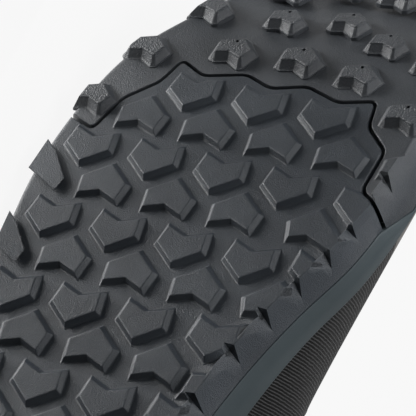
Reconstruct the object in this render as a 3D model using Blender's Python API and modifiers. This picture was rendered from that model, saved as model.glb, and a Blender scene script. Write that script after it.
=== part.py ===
"""Low lugged shoe for mountain biking, right foot, lying on its lateral side.

Shapes are worked out in the shoe's own frame, in millimetres: +x lateral, +y toe, +z up, with the
ground plane of the tread at z = 0 and the heel at y = 0. One empty then lays the whole shoe down.
"""
import math
from collections import namedtuple
from itertools import combinations

import bmesh
import bpy
import numpy as np
from mathutils import Matrix, Vector

MM = 0.001
OBJECT_NAME = "mountain_bike_shoe"
GAP = 0.3

# Sole sections from heel tip to toe tip: distance from the heel, medial and lateral edge of the tread
# floor, and height of the midsole's top edge above the tread floor
SoleSection = namedtuple("SoleSection", "y medial lateral band")
SOLE_SECTIONS = (
    SoleSection(0.0, 9.0, 9.0, 26.0),
    SoleSection(5.0, -9.0, 27.0, 26.0),
    SoleSection(18.0, -21.5, 40.0, 25.8),
    SoleSection(42.0, -26.0, 45.0, 25.5),
    SoleSection(80.0, -24.5, 44.5, 25.0),
    SoleSection(118.0, -25.0, 43.5, 23.5),
    SoleSection(150.0, -31.0, 45.5, 21.3),
    SoleSection(178.0, -40.0, 48.0, 18.8),
    SoleSection(200.0, -48.9, 49.6, 17.6),
    SoleSection(222.0, -52.6, 47.8, 17.4),
    SoleSection(244.0, -53.2, 42.8, 16.8),
    SoleSection(264.0, -50.0, 32.0, 15.6),
    SoleSection(281.0, -42.3, 21.3, 14.4),
    SoleSection(293.0, -31.5, 9.5, 13.6),
    SoleSection(300.0, -11.0, -11.0, 13.2),
)

# Upper sections, one for each sole section: place of the opening's edge (distance from the heel, half
# width, height), then the wall's rise and lean at the sole and its reach and drop at the opening
UpperSection = namedtuple("UpperSection", "y half height rise lean reach drop")
UPPER_SECTIONS = (
    UpperSection(5.0, 0.0, 95.0, 26.0, 5.0, 2.0, 22.0),
    UpperSection(8.0, 13.5, 94.4, 26.0, 5.0, 2.0, 22.0),
    UpperSection(20.0, 24.5, 90.5, 26.0, 4.0, 3.0, 20.0),
    UpperSection(46.0, 30.0, 82.0, 26.0, 3.0, 4.0, 18.0),
    UpperSection(82.0, 31.0, 80.5, 24.0, 2.5, 5.0, 18.0),
    UpperSection(114.0, 25.0, 91.0, 22.0, 2.0, 8.0, 16.0),
    UpperSection(139.0, 18.5, 96.0, 22.0, 2.0, 11.0, 12.0),
    UpperSection(159.0, 16.0, 89.0, 22.0, 2.5, 13.0, 9.0),
    UpperSection(175.0, 15.0, 82.0, 22.0, 3.0, 15.0, 8.0),
    UpperSection(189.0, 13.5, 75.5, 21.0, 3.0, 17.0, 7.0),
    UpperSection(200.0, 11.0, 71.0, 20.0, 3.5, 20.0, 7.0),
    UpperSection(207.0, 7.5, 68.5, 20.0, 4.0, 26.0, 8.0),
    UpperSection(211.0, 4.0, 67.3, 20.0, 4.0, 34.0, 9.0),
    UpperSection(212.7, 1.6, 67.0, 20.0, 4.0, 40.0, 10.0),
    UpperSection(213.0, 0.0, 67.0, 20.0, 4.0, 42.0, 10.0),
)
TOE_STATION = len(SOLE_SECTIONS) - 1
LOOP_LENGTH = 2 * TOE_STATION
COLUMNS = 2 * LOOP_LENGTH
THROAT_SHIFT = -3.0
THROAT_SHIFT_GROWTH = 2.0
SLOPE_STEP = 0.02
SHARP_ANGLE_DEG = 35.0

# Curve of the tread floor
LUG_HEIGHT = 1.4
BALL_CURVE_START = 200.0
BALL_CURVE_RADIUS = 500.0
TOE_CURVE_START = 246.0
TOE_CURVE_RADIUS = 140.0
HEEL_CURVE_START = 32.0
HEEL_CURVE_RADIUS = 120.0
ARCH_RISE = 2.4
ARCH_PLACE = 105.0
ARCH_HALF_LENGTH = 72.0

# Rubber edge and foam band
PLATE_THICKNESS = 3.0
EDGE_HEIGHT = 6.5
EDGE_FLARE = 2.9
EDGE_THICKNESS = 2.4
EDGE_KNEE = 0.85
INNER_EDGE_INSET = 2.0
BUMPER_START_MEDIAL = 209.0
BUMPER_START_LATERAL = 222.0
BUMPER_RAMP = 14.5
BUMPER_FLARE = 1.9
BUMPER_DROP = 1.5
BAND_BULGE = 3.5
BAND_BULGE_PLACE = 0.4
BAND_SHOULDER_PLACE = 0.75
BAND_SHOULDER_SHARE = 0.5
BAND_TOP = 2.0
HEEL_BULGE = 2.7
HEEL_BULGE_START = 60.0
HEEL_BULGE_FADE = 60.0
MIDSOLE_CLEARANCE = 1.5 * GAP

# Chevron lugs on a centred lattice: half width, then heights along the foot, apex towards the heel
LUG_PITCH_ACROSS = 21.0
LUG_PITCH_ALONG = 24.7
LUG_COLUMN_X = -5.0
LUG_ROW_Y = 188.0
LUG_HALF_WIDTH = 6.9
LUG_END_LEAN = 0.9
LUG_APEX = -6.6
LUG_SHOULDER = -1.4
LUG_END = 4.1
LUG_NOTCH = 1.9
LUG_DRAFT = 0.9
LUG_ROOT = 1.2
LUG_FIELD_COLUMNS = range(-4, 5)
LUG_FIELD_ROWS = range(-8, 4)
LUG_MAX_PAST_GROOVE = 0.35
LUG_TRIM = 0.2
LUG_MIN_SHARE = 0.35
EDGE_SLOPE = EDGE_FLARE / EDGE_HEIGHT

# Toe piece: places of its lugs, their height and their smaller chevron
TOE_LUG_PLACES = (
    (41.9, 226.6), (33.8, 245.7), (24.1, 265.0), (10.9, 252.0), (-10.7, 253.6), (-30.6, 251.4),
    (1.5, 267.6), (-17.0, 271.8), (-32.3, 265.3), (-49.5, 240.5), (-51.4, 223.2), (-48.6, 261.0),
    (-24.4, 285.8), (-3.0, 285.0), (12.5, 278.5),
)
TOE_LUG_HEIGHT = 3.2
TOE_LUG_DRAFT = 1.7
TOE_LUG_SCALE = 0.74

# V notches up the sole's sides where the gaps between the edge lugs run out, as distances from the heel
NOTCHES_AT_BALL = (203.5, 193.5, 183.5, 171.8, 159.3)
NOTCH_SPACING = 0.5 * LUG_PITCH_ALONG
NOTCH_LAST = 30.0
NOTCH_HALF_WIDTH = 2.3
NOTCH_HEIGHT = 5.0
NOTCH_DEPTH = 2.0
NOTCH_CLEARANCE = 0.6
EDGE_SEARCH_STEPS = 40

# Groove between the two rubbers, as lattice places across (medial) and along (toe)
GROOVE_WIDTH = 1.1
GROOVE_ROUTE = (
    (-3.20, 1.52), (-2.50, 1.33), (-2.12, 1.21), (-1.95, 1.70), (-1.56, 2.04), (-1.43, 2.41),
    (-1.01, 2.24), (-0.41, 2.38), (0.02, 2.25), (0.51, 2.38), (1.04, 2.24), (1.54, 2.36),
    (1.62, 2.00), (2.01, 1.72), (1.98, 1.16), (2.23, 1.03), (2.90, 0.30),
)
REGION_REACH = 400.0
REGION_LOW = -40.0
REGION_HIGH = 90.0

# Upper, insole, tongue and laces
UPPER_WALL = 2.2
UPPER_SEAT = 1.6
UPPER_ROWS = 10
INSOLE_THICKNESS = 4.0
INSOLE_INSET = 1.6

# Over the ball and toes the medial wall leans in from the sole, and the insole gives way to it
MEDIAL_LEAN = 2.0
MEDIAL_RISE = 5.0
MEDIAL_LEAN_START = 160.0
MEDIAL_LEAN_FULL = 198.0
MEDIAL_LEAN_END = 252.0
MEDIAL_LEAN_GONE = 292.0
MEDIAL_INSOLE_INSET = 1.4
TONGUE_THICKNESS = 4.0
TONGUE_CLEARANCE = 0.5
TONGUE_UNDERLAP = 11.0
TONGUE_CROWN = 2.2
TONGUE_BRIDGE_STEPS = 4
TONGUE_FRONT_STATION = 13.0
TONGUE_BACK_STATION = 6.0
TONGUE_ROWS = 14
TONGUE_TOP_REACH = 30.0
TONGUE_TOP_ROWS = 3
TONGUE_TOP_WIDTH = 0.82
EYELET_COUNT = 6
EYELET_FIRST_STATION = 10.1
EYELET_LAST_STATION = 6.1
EYELET_INSET = 7.0
EYELET_RADIUS = 2.2
EYELET_SIDES = 8
EYELET_CUTTER_DEPTH = 8.0
LACE_RADIUS = 1.8
LACE_LIFT = 0.5
LACE_BOW = 0.3
LACE_ROUNDING = 1
WELD_DISTANCE = 0.01

# Lay-down: small turns from straight on its side to where the walls and foam edge of heel and ball touch
LAY_ROLL_DEG = -7.83
LAY_PITCH_DEG = 0.41
LAY_SHIFT = (148.145, -48.076, 52.942)

Finish = namedtuple("Finish", "colour roughness metallic")
RUBBER_GREY = Finish((0.075, 0.080, 0.088, 1.0), 0.62, 0.0)
TOE_RUBBER_GREY = Finish((0.085, 0.086, 0.089, 1.0), 0.70, 0.0)
FOAM_BLUE_GREY = Finish((0.135, 0.170, 0.195, 1.0), 0.60, 0.0)
TEXTILE_BLACK = Finish((0.020, 0.020, 0.022, 1.0), 0.85, 0.0)
INSOLE_GREY = Finish((0.060, 0.062, 0.065, 1.0), 0.90, 0.0)
LACE_BLACK = Finish((0.030, 0.030, 0.032, 1.0), 0.80, 0.0)


def clear_scene():
    for item in list(bpy.data.objects):
        bpy.data.objects.remove(item, do_unlink=True)


def make_collection(name):
    collection = bpy.data.collections.new(name)
    bpy.context.scene.collection.children.link(collection)
    return collection


def make_material(name, finish):
    material = bpy.data.materials.new(name)
    material.use_nodes = True
    shader = material.node_tree.nodes["Principled BSDF"]
    shader.inputs["Base Color"].default_value = finish.colour
    shader.inputs["Roughness"].default_value = finish.roughness
    shader.inputs["Metallic"].default_value = finish.metallic
    return material


def smoothstep(value):
    value = min(max(value, 0.0), 1.0)
    return value * value * (3.0 - 2.0 * value)


def mix(a, b, share):
    return a + (b - a) * share


# Curves through the section tables

def loop_knots():
    """Edge of the tread floor: lateral side from heel to toe, then the medial side back."""
    lateral = [(row.lateral, row.y) for row in SOLE_SECTIONS]
    medial = [(row.medial, row.y) for row in reversed(SOLE_SECTIONS[1:-1])]
    return np.array(lateral + medial)


KNOTS = loop_knots()


def edge_point(t):
    """Smooth closed curve through the knots, one unit of t for each knot."""
    first = math.floor(t)
    part = t - first
    p0, p1, p2, p3 = (KNOTS[(first + k) % LOOP_LENGTH] for k in (-1, 0, 1, 2))
    before = np.linalg.norm(p1 - p0)
    here = np.linalg.norm(p2 - p1)
    after = np.linalg.norm(p3 - p2)
    leave = ((p1 - p0) / before - (p2 - p0) / (before + here)) * here + (p2 - p1)
    arrive = ((p3 - p2) / after - (p3 - p1) / (here + after)) * here + (p2 - p1)
    h2 = part * part * (3.0 - 2.0 * part)
    h3 = part * (1.0 - part) ** 2
    h4 = part * part * (part - 1.0)
    return p1 * (1.0 - h2) + p2 * h2 + leave * h3 + arrive * h4


def edge_outward(t):
    along = edge_point(t + SLOPE_STEP) - edge_point(t - SLOPE_STEP)
    return np.array((along[1], -along[0])) / np.linalg.norm(along)


def station_of(t):
    t = t % LOOP_LENGTH
    return t if t <= TOE_STATION else LOOP_LENGTH - t


def side_of(t):
    """+1 on the lateral side, -1 on the medial side."""
    return 1.0 if t % LOOP_LENGTH <= TOE_STATION else -1.0


def along_sections(sections, column, station):
    """Smooth value of one table column, level at the heel tip and the toe tip."""
    first = min(math.floor(station), TOE_STATION - 1)
    part = station - first
    last = TOE_STATION
    places = [abs(first + k) if first + k <= last else 2 * last - first - k for k in (-1, 0, 1, 2)]
    v0, v1, v2, v3 = (getattr(sections[place], column) for place in places)
    leave = 0.5 * (v2 - v0)
    arrive = 0.5 * (v3 - v1)
    h2 = part * part * (3.0 - 2.0 * part)
    h3 = part * (1.0 - part) ** 2
    h4 = part * part * (part - 1.0)
    return v1 * (1.0 - h2) + v2 * h2 + leave * h3 + arrive * h4


def centre_x(y):
    """Middle of the tread at a distance from the heel."""
    distances = [row.y for row in SOLE_SECTIONS]
    middles = [0.5 * (row.medial + row.lateral) for row in SOLE_SECTIONS]
    return float(np.interp(y, distances, middles))


def floor_height(y):
    """Height of the tread floor over the ground: arch, toe spring and heel bevel."""
    ball = max(y - BALL_CURVE_START, 0.0)
    toe = max(y - TOE_CURVE_START, 0.0)
    heel = max(HEEL_CURVE_START - y, 0.0)
    arch = ARCH_RISE * max(1.0 - ((y - ARCH_PLACE) / ARCH_HALF_LENGTH) ** 2, 0.0) ** 2
    spring = ball * ball / (2.0 * BALL_CURVE_RADIUS) + toe * toe / (2.0 * TOE_CURVE_RADIUS)
    return LUG_HEIGHT + arch + spring + heel * heel / (2.0 * HEEL_CURVE_RADIUS)


def floor_slope(y):
    return (floor_height(y + SLOPE_STEP) - floor_height(y - SLOPE_STEP)) / (2.0 * SLOPE_STEP)


# Section profiles of the sole's side, as (offset from the floor's edge, height over the floor)

def bumper_share(t):
    """0 along the main rubber edge, 1 where the toe rubber climbs to the upper."""
    y = edge_point(t)[1]
    start = BUMPER_START_LATERAL if side_of(t) > 0.0 else BUMPER_START_MEDIAL
    return min(max((y - start) / BUMPER_RAMP, 0.0), 1.0)


def band_height(t):
    return along_sections(SOLE_SECTIONS, "band", station_of(t))


def rim_height(t):
    return mix(EDGE_HEIGHT, band_height(t) - BUMPER_DROP, bumper_share(t))


def rim_offset(t):
    return mix(EDGE_FLARE, BUMPER_FLARE, bumper_share(t))


def outsole_profile(t):
    rim = rim_height(t)
    outer = rim_offset(t)
    return (
        (0.0, 0.0),
        (EDGE_FLARE * EDGE_KNEE, EDGE_HEIGHT * EDGE_KNEE),
        (outer, rim),
        (outer - EDGE_THICKNESS, rim),
        (-INNER_EDGE_INSET, PLATE_THICKNESS),
    )


def midsole_profile(t):
    rim = rim_height(t) + GAP
    outer = rim_offset(t)
    top = band_height(t)
    heel_share = 1.0 - smoothstep((edge_point(t)[1] - HEEL_BULGE_START) / HEEL_BULGE_FADE)
    bulge = mix(BAND_BULGE + HEEL_BULGE * heel_share, BAND_TOP, bumper_share(t))
    return (
        (-INNER_EDGE_INSET - MIDSOLE_CLEARANCE, PLATE_THICKNESS + GAP),
        (outer - EDGE_THICKNESS - MIDSOLE_CLEARANCE, rim),
        (outer, rim),
        (bulge, mix(rim, top, BAND_BULGE_PLACE)),
        (mix(bulge, BAND_TOP, BAND_SHOULDER_SHARE), mix(rim, top, BAND_SHOULDER_PLACE)),
        (BAND_TOP, top),
    )


def medial_lean_share(t):
    """1 where the medial wall leans in fully, 0 on the lateral side and at heel and toe tip."""
    if side_of(t) > 0.0:
        return 0.0
    y = edge_point(t)[1]
    begun = smoothstep((y - MEDIAL_LEAN_START) / (MEDIAL_LEAN_FULL - MEDIAL_LEAN_START))
    return begun * smoothstep((MEDIAL_LEAN_GONE - y) / (MEDIAL_LEAN_GONE - MEDIAL_LEAN_END))


def insole_profile(t):
    bottom = band_height(t) + GAP
    inset = INSOLE_INSET + MEDIAL_INSOLE_INSET * medial_lean_share(t)
    return (
        (-inset, bottom),
        (-inset, bottom + INSOLE_THICKNESS),
    )


def envelope_profile(t):
    """Sides of the sole carried on past the tread floor, to trim the lugs at the edge."""
    depth = 2.0 * TOE_LUG_HEIGHT
    height = 2.0 * LUG_ROOT
    return (
        (-depth * EDGE_SLOPE - LUG_TRIM, -depth),
        (height * EDGE_SLOPE - LUG_TRIM, height),
    )


# Mesh helpers

def new_object(name, mesh, collection, material=None):
    made = bpy.data.objects.new(name, mesh)
    collection.objects.link(made)
    if material is not None:
        mesh.materials.append(material)
    return made


def mesh_from(name, points, faces):
    """Mesh of points in millimetres, with its faces turned outwards."""
    mesh = bpy.data.meshes.new(name)
    mesh.from_pydata([tuple(MM * float(c) for c in point) for point in points], [], faces)
    work = bmesh.new()
    work.from_mesh(mesh)
    bmesh.ops.recalc_face_normals(work, faces=work.faces)
    work.to_mesh(mesh)
    work.free()
    mesh.shade_smooth()
    mesh.set_sharp_from_angle(angle=math.radians(SHARP_ANGLE_DEG))
    return mesh


def ring_mesh(name, profile):
    """Closed solid of rings round the sole, with strips from side to side as bottom and top.

    Every four-cornered face is split from its lower near corner, so that nested solids stay parallel.
    """
    points = []
    ring_count = len(profile(0.0))
    for column in range(COLUMNS):
        t = column * LOOP_LENGTH / COLUMNS
        edge = edge_point(t)
        outward = edge_outward(t)
        base = floor_height(edge[1])
        for offset, height in profile(t):
            place = edge + outward * offset
            points.append((place[0], place[1], base + height))
    index = lambda column, ring: (column % COLUMNS) * ring_count + ring
    faces = []
    for column in range(COLUMNS):
        for ring in range(ring_count - 1):
            near, far = index(column, ring), index(column + 1, ring)
            far_next, near_next = index(column + 1, ring + 1), index(column, ring + 1)
            if points[near][2] <= points[near_next][2]:
                faces.extend(((near, far, far_next), (near, far_next, near_next)))
            else:
                faces.extend(((near_next, near, far), (near_next, far, far_next)))
    half = COLUMNS // 2
    for ring in (0, ring_count - 1):
        for column in range(half):
            near, far = index(column, ring), index(column + 1, ring)
            across_far, across_near = index(-column - 1, ring), index(-column, ring)
            halves = ((near, far, across_far), (near, across_far, across_near))
            faces.extend(corners for corners in halves if len(set(corners)) == len(corners))
    return mesh_from(name, points, faces)


def baked(item, name, collection, material=None):
    """Plain mesh object of an object with its modifiers applied."""
    depsgraph = bpy.context.evaluated_depsgraph_get()
    mesh = bpy.data.meshes.new_from_object(item.evaluated_get(depsgraph))
    mesh.name = name
    bpy.data.objects.remove(item, do_unlink=True)
    mesh.materials.clear()
    return new_object(name, mesh, collection, material)


def add_boolean(item, tool, operation, solver="EXACT"):
    modifier = item.modifiers.new(operation.lower(), "BOOLEAN")
    modifier.operation = operation
    modifier.solver = solver
    modifier.object = tool
    return modifier


def as_cutter(item):
    item.hide_render = True
    item.display_type = "WIRE"
    return item


# Tread

def chevron(scale):
    """Plan of a lug, apex towards the heel, as (across, along)."""
    return scale * np.array((
        (0.0, LUG_APEX),
        (LUG_HALF_WIDTH, LUG_SHOULDER),
        (LUG_HALF_WIDTH - LUG_END_LEAN, LUG_END),
        (0.0, LUG_NOTCH),
        (-LUG_HALF_WIDTH + LUG_END_LEAN, LUG_END),
        (-LUG_HALF_WIDTH, LUG_SHOULDER),
    ))


def grown(plan, distance):
    """Plan with every side moved outwards by a distance."""
    result = []
    for k in range(len(plan)):
        before = plan[k] - plan[k - 1]
        after = plan[(k + 1) % len(plan)] - plan[k]
        normal_before = np.array((before[1], -before[0])) / np.linalg.norm(before)
        normal_after = np.array((after[1], -after[0])) / np.linalg.norm(after)
        total = normal_before + normal_after
        result.append(plan[k] + distance * total / (1.0 + normal_before @ normal_after))
    return np.array(result)


Lug = namedtuple("Lug", "x y turned height draft scale")


def lug_plan(lug):
    plan = chevron(lug.scale)
    return -plan if lug.turned else plan


def lug_points(lug):
    """Root and top rings of a lug, square to the curved tread floor."""
    slope = floor_slope(lug.y)
    level = 1.0 / math.hypot(1.0, slope)
    along = np.array((0.0, level, slope * level))
    down = np.array((0.0, slope * level, -level))
    base = np.array((lug.x, lug.y, floor_height(lug.y)))
    rings = []
    for depth in (-LUG_ROOT, lug.height):
        plan = grown(lug_plan(lug), lug.draft * (1.0 - depth / lug.height))
        rings.append([base + p[0] * np.array((1.0, 0.0, 0.0)) + p[1] * along + depth * down for p in plan])
    return rings


def lugs_mesh(name, lugs):
    points = []
    faces = []
    for lug in lugs:
        root, top = lug_points(lug)
        start = len(points)
        count = len(root)
        points.extend(root)
        points.extend(top)
        faces.append(tuple(range(start, start + count)))
        faces.append(tuple(range(start + count, start + 2 * count)))
        for k in range(count):
            after = (k + 1) % count
            faces.append((start + k, start + after, start + count + after, start + count + k))
    return mesh_from(name, points, faces)


def groove_points():
    return np.array([(LUG_COLUMN_X - across * LUG_PITCH_ACROSS, LUG_ROW_Y + along * LUG_PITCH_ALONG)
                     for across, along in GROOVE_ROUTE])


def groove_side(shift):
    """Groove route moved sideways, towards the toe for a positive shift."""
    route = groove_points()
    moved = []
    for k in range(len(route)):
        before = route[k] - route[max(k - 1, 0)]
        after = route[min(k + 1, len(route) - 1)] - route[k]
        before = after if k == 0 else before
        after = before if k == len(route) - 1 else after
        normal_before = np.array((before[1], -before[0])) / np.linalg.norm(before)
        normal_after = np.array((after[1], -after[0])) / np.linalg.norm(after)
        total = normal_before + normal_after
        moved.append(route[k] + shift * total / (1.0 + normal_before @ normal_after))
    return np.array(moved)


def inside(point, polygon):
    """Even-odd test of a point in a plan polygon."""
    hit = False
    for k in range(len(polygon)):
        (ax, ay), (bx, by) = polygon[k - 1], polygon[k]
        if (ay > point[1]) != (by > point[1]):
            if point[0] < ax + (point[1] - ay) * (bx - ax) / (by - ay):
                hit = not hit
    return hit


def toe_region(shift):
    """Plan of all that lies on the toe side of the groove."""
    route = groove_side(shift)
    reach = REGION_REACH
    return np.vstack((route, ((-reach, route[-1][1]), (-reach, reach), (reach, reach), (reach, route[0][1]))))


def tread_outline():
    return [edge_point(column * LOOP_LENGTH / COLUMNS) for column in range(COLUMNS)]


def field_lugs():
    """Lattice of lugs over the main rubber; every second one points to the toe."""
    outline = tread_outline()
    toe_side = toe_region(0.0)
    lugs = []
    for column in LUG_FIELD_COLUMNS:
        for row in LUG_FIELD_ROWS:
            for turned in (False, True):
                x = LUG_COLUMN_X - (column + 0.5 * turned) * LUG_PITCH_ACROSS
                y = LUG_ROW_Y + (row - 0.5 * turned) * LUG_PITCH_ALONG
                lug = Lug(x, y, turned, LUG_HEIGHT, LUG_DRAFT, 1.0)
                corners = lug_plan(lug) + np.array((x, y))
                share = sum(inside(corner, outline) for corner in corners) / len(corners)
                past_groove = sum(inside(corner, toe_side) for corner in corners) / len(corners)
                if share >= LUG_MIN_SHARE and past_groove <= LUG_MAX_PAST_GROOVE:
                    lugs.append(lug)
    return lugs


def toe_lugs():
    return [Lug(x, y, True, TOE_LUG_HEIGHT, TOE_LUG_DRAFT, TOE_LUG_SCALE) for x, y in TOE_LUG_PLACES]


def region_prism(name, plan, collection):
    count = len(plan)
    points = [(p[0], p[1], z) for z in (REGION_LOW, REGION_HIGH) for p in plan]
    faces = [tuple(range(count)), tuple(range(count, 2 * count))]
    for k in range(count):
        after = (k + 1) % count
        faces.append((k, after, count + after, count + k))
    return as_cutter(new_object(name, mesh_from(name, points, faces), collection))


def edge_place(y, side):
    """Loop parameter of the tread's edge at a distance from the heel."""
    low, high = (0.0, TOE_STATION) if side > 0.0 else (LOOP_LENGTH, TOE_STATION)
    for _ in range(EDGE_SEARCH_STEPS):
        middle = 0.5 * (low + high)
        if edge_point(middle)[1] < y:
            low = middle
        else:
            high = middle
    return low


def notch_places():
    """Notches by the ball as seen, then evenly spaced to the heel."""
    places = list(NOTCHES_AT_BALL)
    while places[-1] - NOTCH_SPACING > NOTCH_LAST:
        places.append(places[-1] - NOTCH_SPACING)
    return places


def build_notches(collection):
    """Four-sided wedges, deepest at the tread floor and running out up the side."""
    points = []
    faces = []
    for side in (1.0, -1.0):
        for y in notch_places():
            t = edge_place(y, side)
            edge = edge_point(t)
            outward = edge_outward(t)
            along = np.array((-outward[1], outward[0]))
            base = floor_height(edge[1])
            below = edge + outward * NOTCH_CLEARANCE
            tip = edge + outward * (NOTCH_HEIGHT * EDGE_SLOPE + NOTCH_CLEARANCE)
            start = len(points)
            points.append((*(below + along * NOTCH_HALF_WIDTH), base - NOTCH_CLEARANCE))
            points.append((*(below - along * NOTCH_HALF_WIDTH), base - NOTCH_CLEARANCE))
            points.append((*(edge - outward * NOTCH_DEPTH), base - NOTCH_CLEARANCE))
            points.append((*tip, base + NOTCH_HEIGHT + NOTCH_CLEARANCE))
            faces.extend(tuple(start + k for k in corners) for corners in combinations(range(4), 3))
    return as_cutter(new_object("side_notches", mesh_from("side_notches", points, faces), collection))


def build_outsole(name, lugs, operation, shift, material, parts, tools):
    """Rubber shell joined with its lugs, which are trimmed to the sole's sides, and cut at the groove."""
    region = region_prism(name + "_region", toe_region(shift), tools)
    envelope = new_object(name + "_envelope", ring_mesh(name + "_envelope", envelope_profile), tools)
    lug_set = new_object(name + "_lugs", lugs_mesh(name + "_lugs", lugs), tools)
    add_boolean(lug_set, as_cutter(envelope), "INTERSECT")
    shell = new_object(name, ring_mesh(name, outsole_profile), parts, material)
    add_boolean(shell, as_cutter(lug_set), "UNION")
    add_boolean(shell, region, operation)
    return shell


# Upper and what is inside it

def upper_handles(t):
    """Four control points of the wall's curve from the sole to the opening."""
    station = station_of(t)
    value = lambda column: along_sections(UPPER_SECTIONS, column, station)
    edge = edge_point(t)
    outward = edge_outward(t)
    foot_plan = edge + outward * UPPER_SEAT
    foot = np.array((foot_plan[0], foot_plan[1], floor_height(edge[1]) + band_height(t) + GAP))
    y = value("y")
    middle = centre_x(y) + THROAT_SHIFT * smoothstep(station / TOE_STATION * THROAT_SHIFT_GROWTH)
    crown = np.array((middle + side_of(t) * value("half"), y, value("height")))
    towards = foot[:2] - crown[:2]
    towards = towards / np.linalg.norm(towards)
    leaning = medial_lean_share(t)
    lean = mix(value("lean"), MEDIAL_LEAN, leaning)
    lower = foot + np.array((*(outward * lean), mix(value("rise"), MEDIAL_RISE, leaning)))
    upper = crown + np.array((*(towards * value("reach")), -value("drop")))
    return foot, lower, upper, crown


def upper_point(t, share):
    """Outer face of the upper: share 0 at the sole, 1 at the opening's edge."""
    foot, lower, upper, crown = upper_handles(t)
    rest = 1.0 - share
    return (foot * rest ** 3 + lower * 3.0 * share * rest ** 2
            + upper * 3.0 * share ** 2 * rest + crown * share ** 3)


def upper_normal(t, share):
    low = max(share - SLOPE_STEP, 0.0)
    high = min(share + SLOPE_STEP, 1.0)
    up = upper_point(t, high) - upper_point(t, low)
    round_loop = upper_point(t + SLOPE_STEP, share) - upper_point(t - SLOPE_STEP, share)
    normal = np.cross(round_loop, up)
    return normal / np.linalg.norm(normal)


def share_at_inset(t, inset):
    """Place on the wall's curve at a distance below the opening's edge."""
    _, _, upper, crown = upper_handles(t)
    return 1.0 - inset / (3.0 * np.linalg.norm(crown - upper))


def eyelets():
    """Lateral and medial eyelet of each row, from the toe end of the throat upwards."""
    rows = []
    for k in range(EYELET_COUNT):
        station = mix(EYELET_FIRST_STATION, EYELET_LAST_STATION, k / (EYELET_COUNT - 1))
        rows.append((station, LOOP_LENGTH - station))
    return rows


def build_upper(material, parts, tools):
    points = []
    for column in range(COLUMNS):
        t = column * LOOP_LENGTH / COLUMNS
        points.extend(upper_point(t, row / UPPER_ROWS) for row in range(UPPER_ROWS + 1))
    height = UPPER_ROWS + 1
    faces = []
    for column in range(COLUMNS):
        here = column * height
        after = ((column + 1) % COLUMNS) * height
        for row in range(UPPER_ROWS):
            faces.append((here + row, after + row, after + row + 1, here + row + 1))
    mesh = mesh_from("upper", points, faces)
    upper = new_object("upper", mesh, parts, material)
    wall = upper.modifiers.new("wall", "SOLIDIFY")
    wall.thickness = UPPER_WALL * MM
    wall.offset = -1.0
    wall.use_even_offset = True
    holes = []
    for pair in eyelets():
        for t in pair:
            share = share_at_inset(t, EYELET_INSET)
            place = Vector(upper_point(t, share)) * MM
            turn = Vector(upper_normal(t, share)).to_track_quat("Z", "Y").to_matrix().to_4x4()
            holes.append(Matrix.Translation(place) @ turn)
    work = bmesh.new()
    for matrix in holes:
        bmesh.ops.create_cone(work, cap_ends=True, segments=EYELET_SIDES, radius1=EYELET_RADIUS * MM,
                              radius2=EYELET_RADIUS * MM, depth=EYELET_CUTTER_DEPTH * MM, matrix=matrix)
    cutter_mesh = bpy.data.meshes.new("eyelet_holes")
    work.to_mesh(cutter_mesh)
    work.free()
    cutter = as_cutter(new_object("eyelet_holes", cutter_mesh, tools))
    add_boolean(upper, cutter, "DIFFERENCE")
    return upper


def under_upper(t, share):
    """Point inside the upper's wall, clear of its inner face."""
    return upper_point(t, share) - upper_normal(t, share) * (UPPER_WALL + TONGUE_CLEARANCE)


def tongue_row(station):
    """Points from lateral to medial under one place of the throat."""
    lateral, medial = station, LOOP_LENGTH - station
    tuck = share_at_inset(lateral, TONGUE_UNDERLAP)
    shares = (tuck, 0.5 * (tuck + 1.0), 1.0)
    left = [under_upper(lateral, share) for share in shares]
    right = [under_upper(medial, share) for share in reversed(shares)]
    start, end = left[-1], right[0]
    up = upper_normal(lateral, 1.0) + upper_normal(medial, 1.0)
    up = up / np.linalg.norm(up)
    bridge = []
    for k in range(1, TONGUE_BRIDGE_STEPS):
        share = k / TONGUE_BRIDGE_STEPS
        bridge.append(mix(start, end, share) + up * TONGUE_CROWN * math.sin(math.pi * share))
    return left + bridge + right


def build_tongue(material, parts):
    rows = []
    for k in range(TONGUE_ROWS):
        station = mix(TONGUE_FRONT_STATION, TONGUE_BACK_STATION, k / (TONGUE_ROWS - 1))
        rows.append(tongue_row(station))
    last = np.array(rows[-1])
    along = np.mean(last, axis=0) - np.mean(np.array(rows[-3]), axis=0)
    along = along / np.linalg.norm(along)
    middle = np.mean(last, axis=0)
    for k in range(1, TONGUE_TOP_ROWS + 1):
        share = k / TONGUE_TOP_ROWS
        narrowed = middle + (last - middle) * mix(1.0, TONGUE_TOP_WIDTH, share)
        rows.append(list(narrowed + along * TONGUE_TOP_REACH * share))
    width = len(last)
    points = [point for row in rows for point in row]
    faces = []
    for row in range(len(rows) - 1):
        for k in range(width - 1):
            first = row * width + k
            faces.append((first, first + 1, first + width + 1, first + width))
    mesh = mesh_from("tongue", points, faces)
    tongue = new_object("tongue", mesh, parts, material)
    thickness = tongue.modifiers.new("thickness", "SOLIDIFY")
    thickness.thickness = TONGUE_THICKNESS * MM
    thickness.offset = -1.0
    return tongue


def lace_point(t, inset):
    share = share_at_inset(t, inset) if inset > 0.0 else 1.0
    return upper_point(t, share) + upper_normal(t, share) * (LACE_RADIUS + LACE_LIFT)


def lace_run(start, end):
    """Points of one run of lace from eyelet to eyelet over the throat."""
    first, last = lace_point(start, EYELET_INSET), lace_point(end, EYELET_INSET)
    near, far = lace_point(start, 0.0), lace_point(end, 0.0)
    bow = 0.5 * (near + far - first - last)
    middle = 0.5 * (near + far) + LACE_BOW * bow
    return [first, near, middle, far, last]


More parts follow.
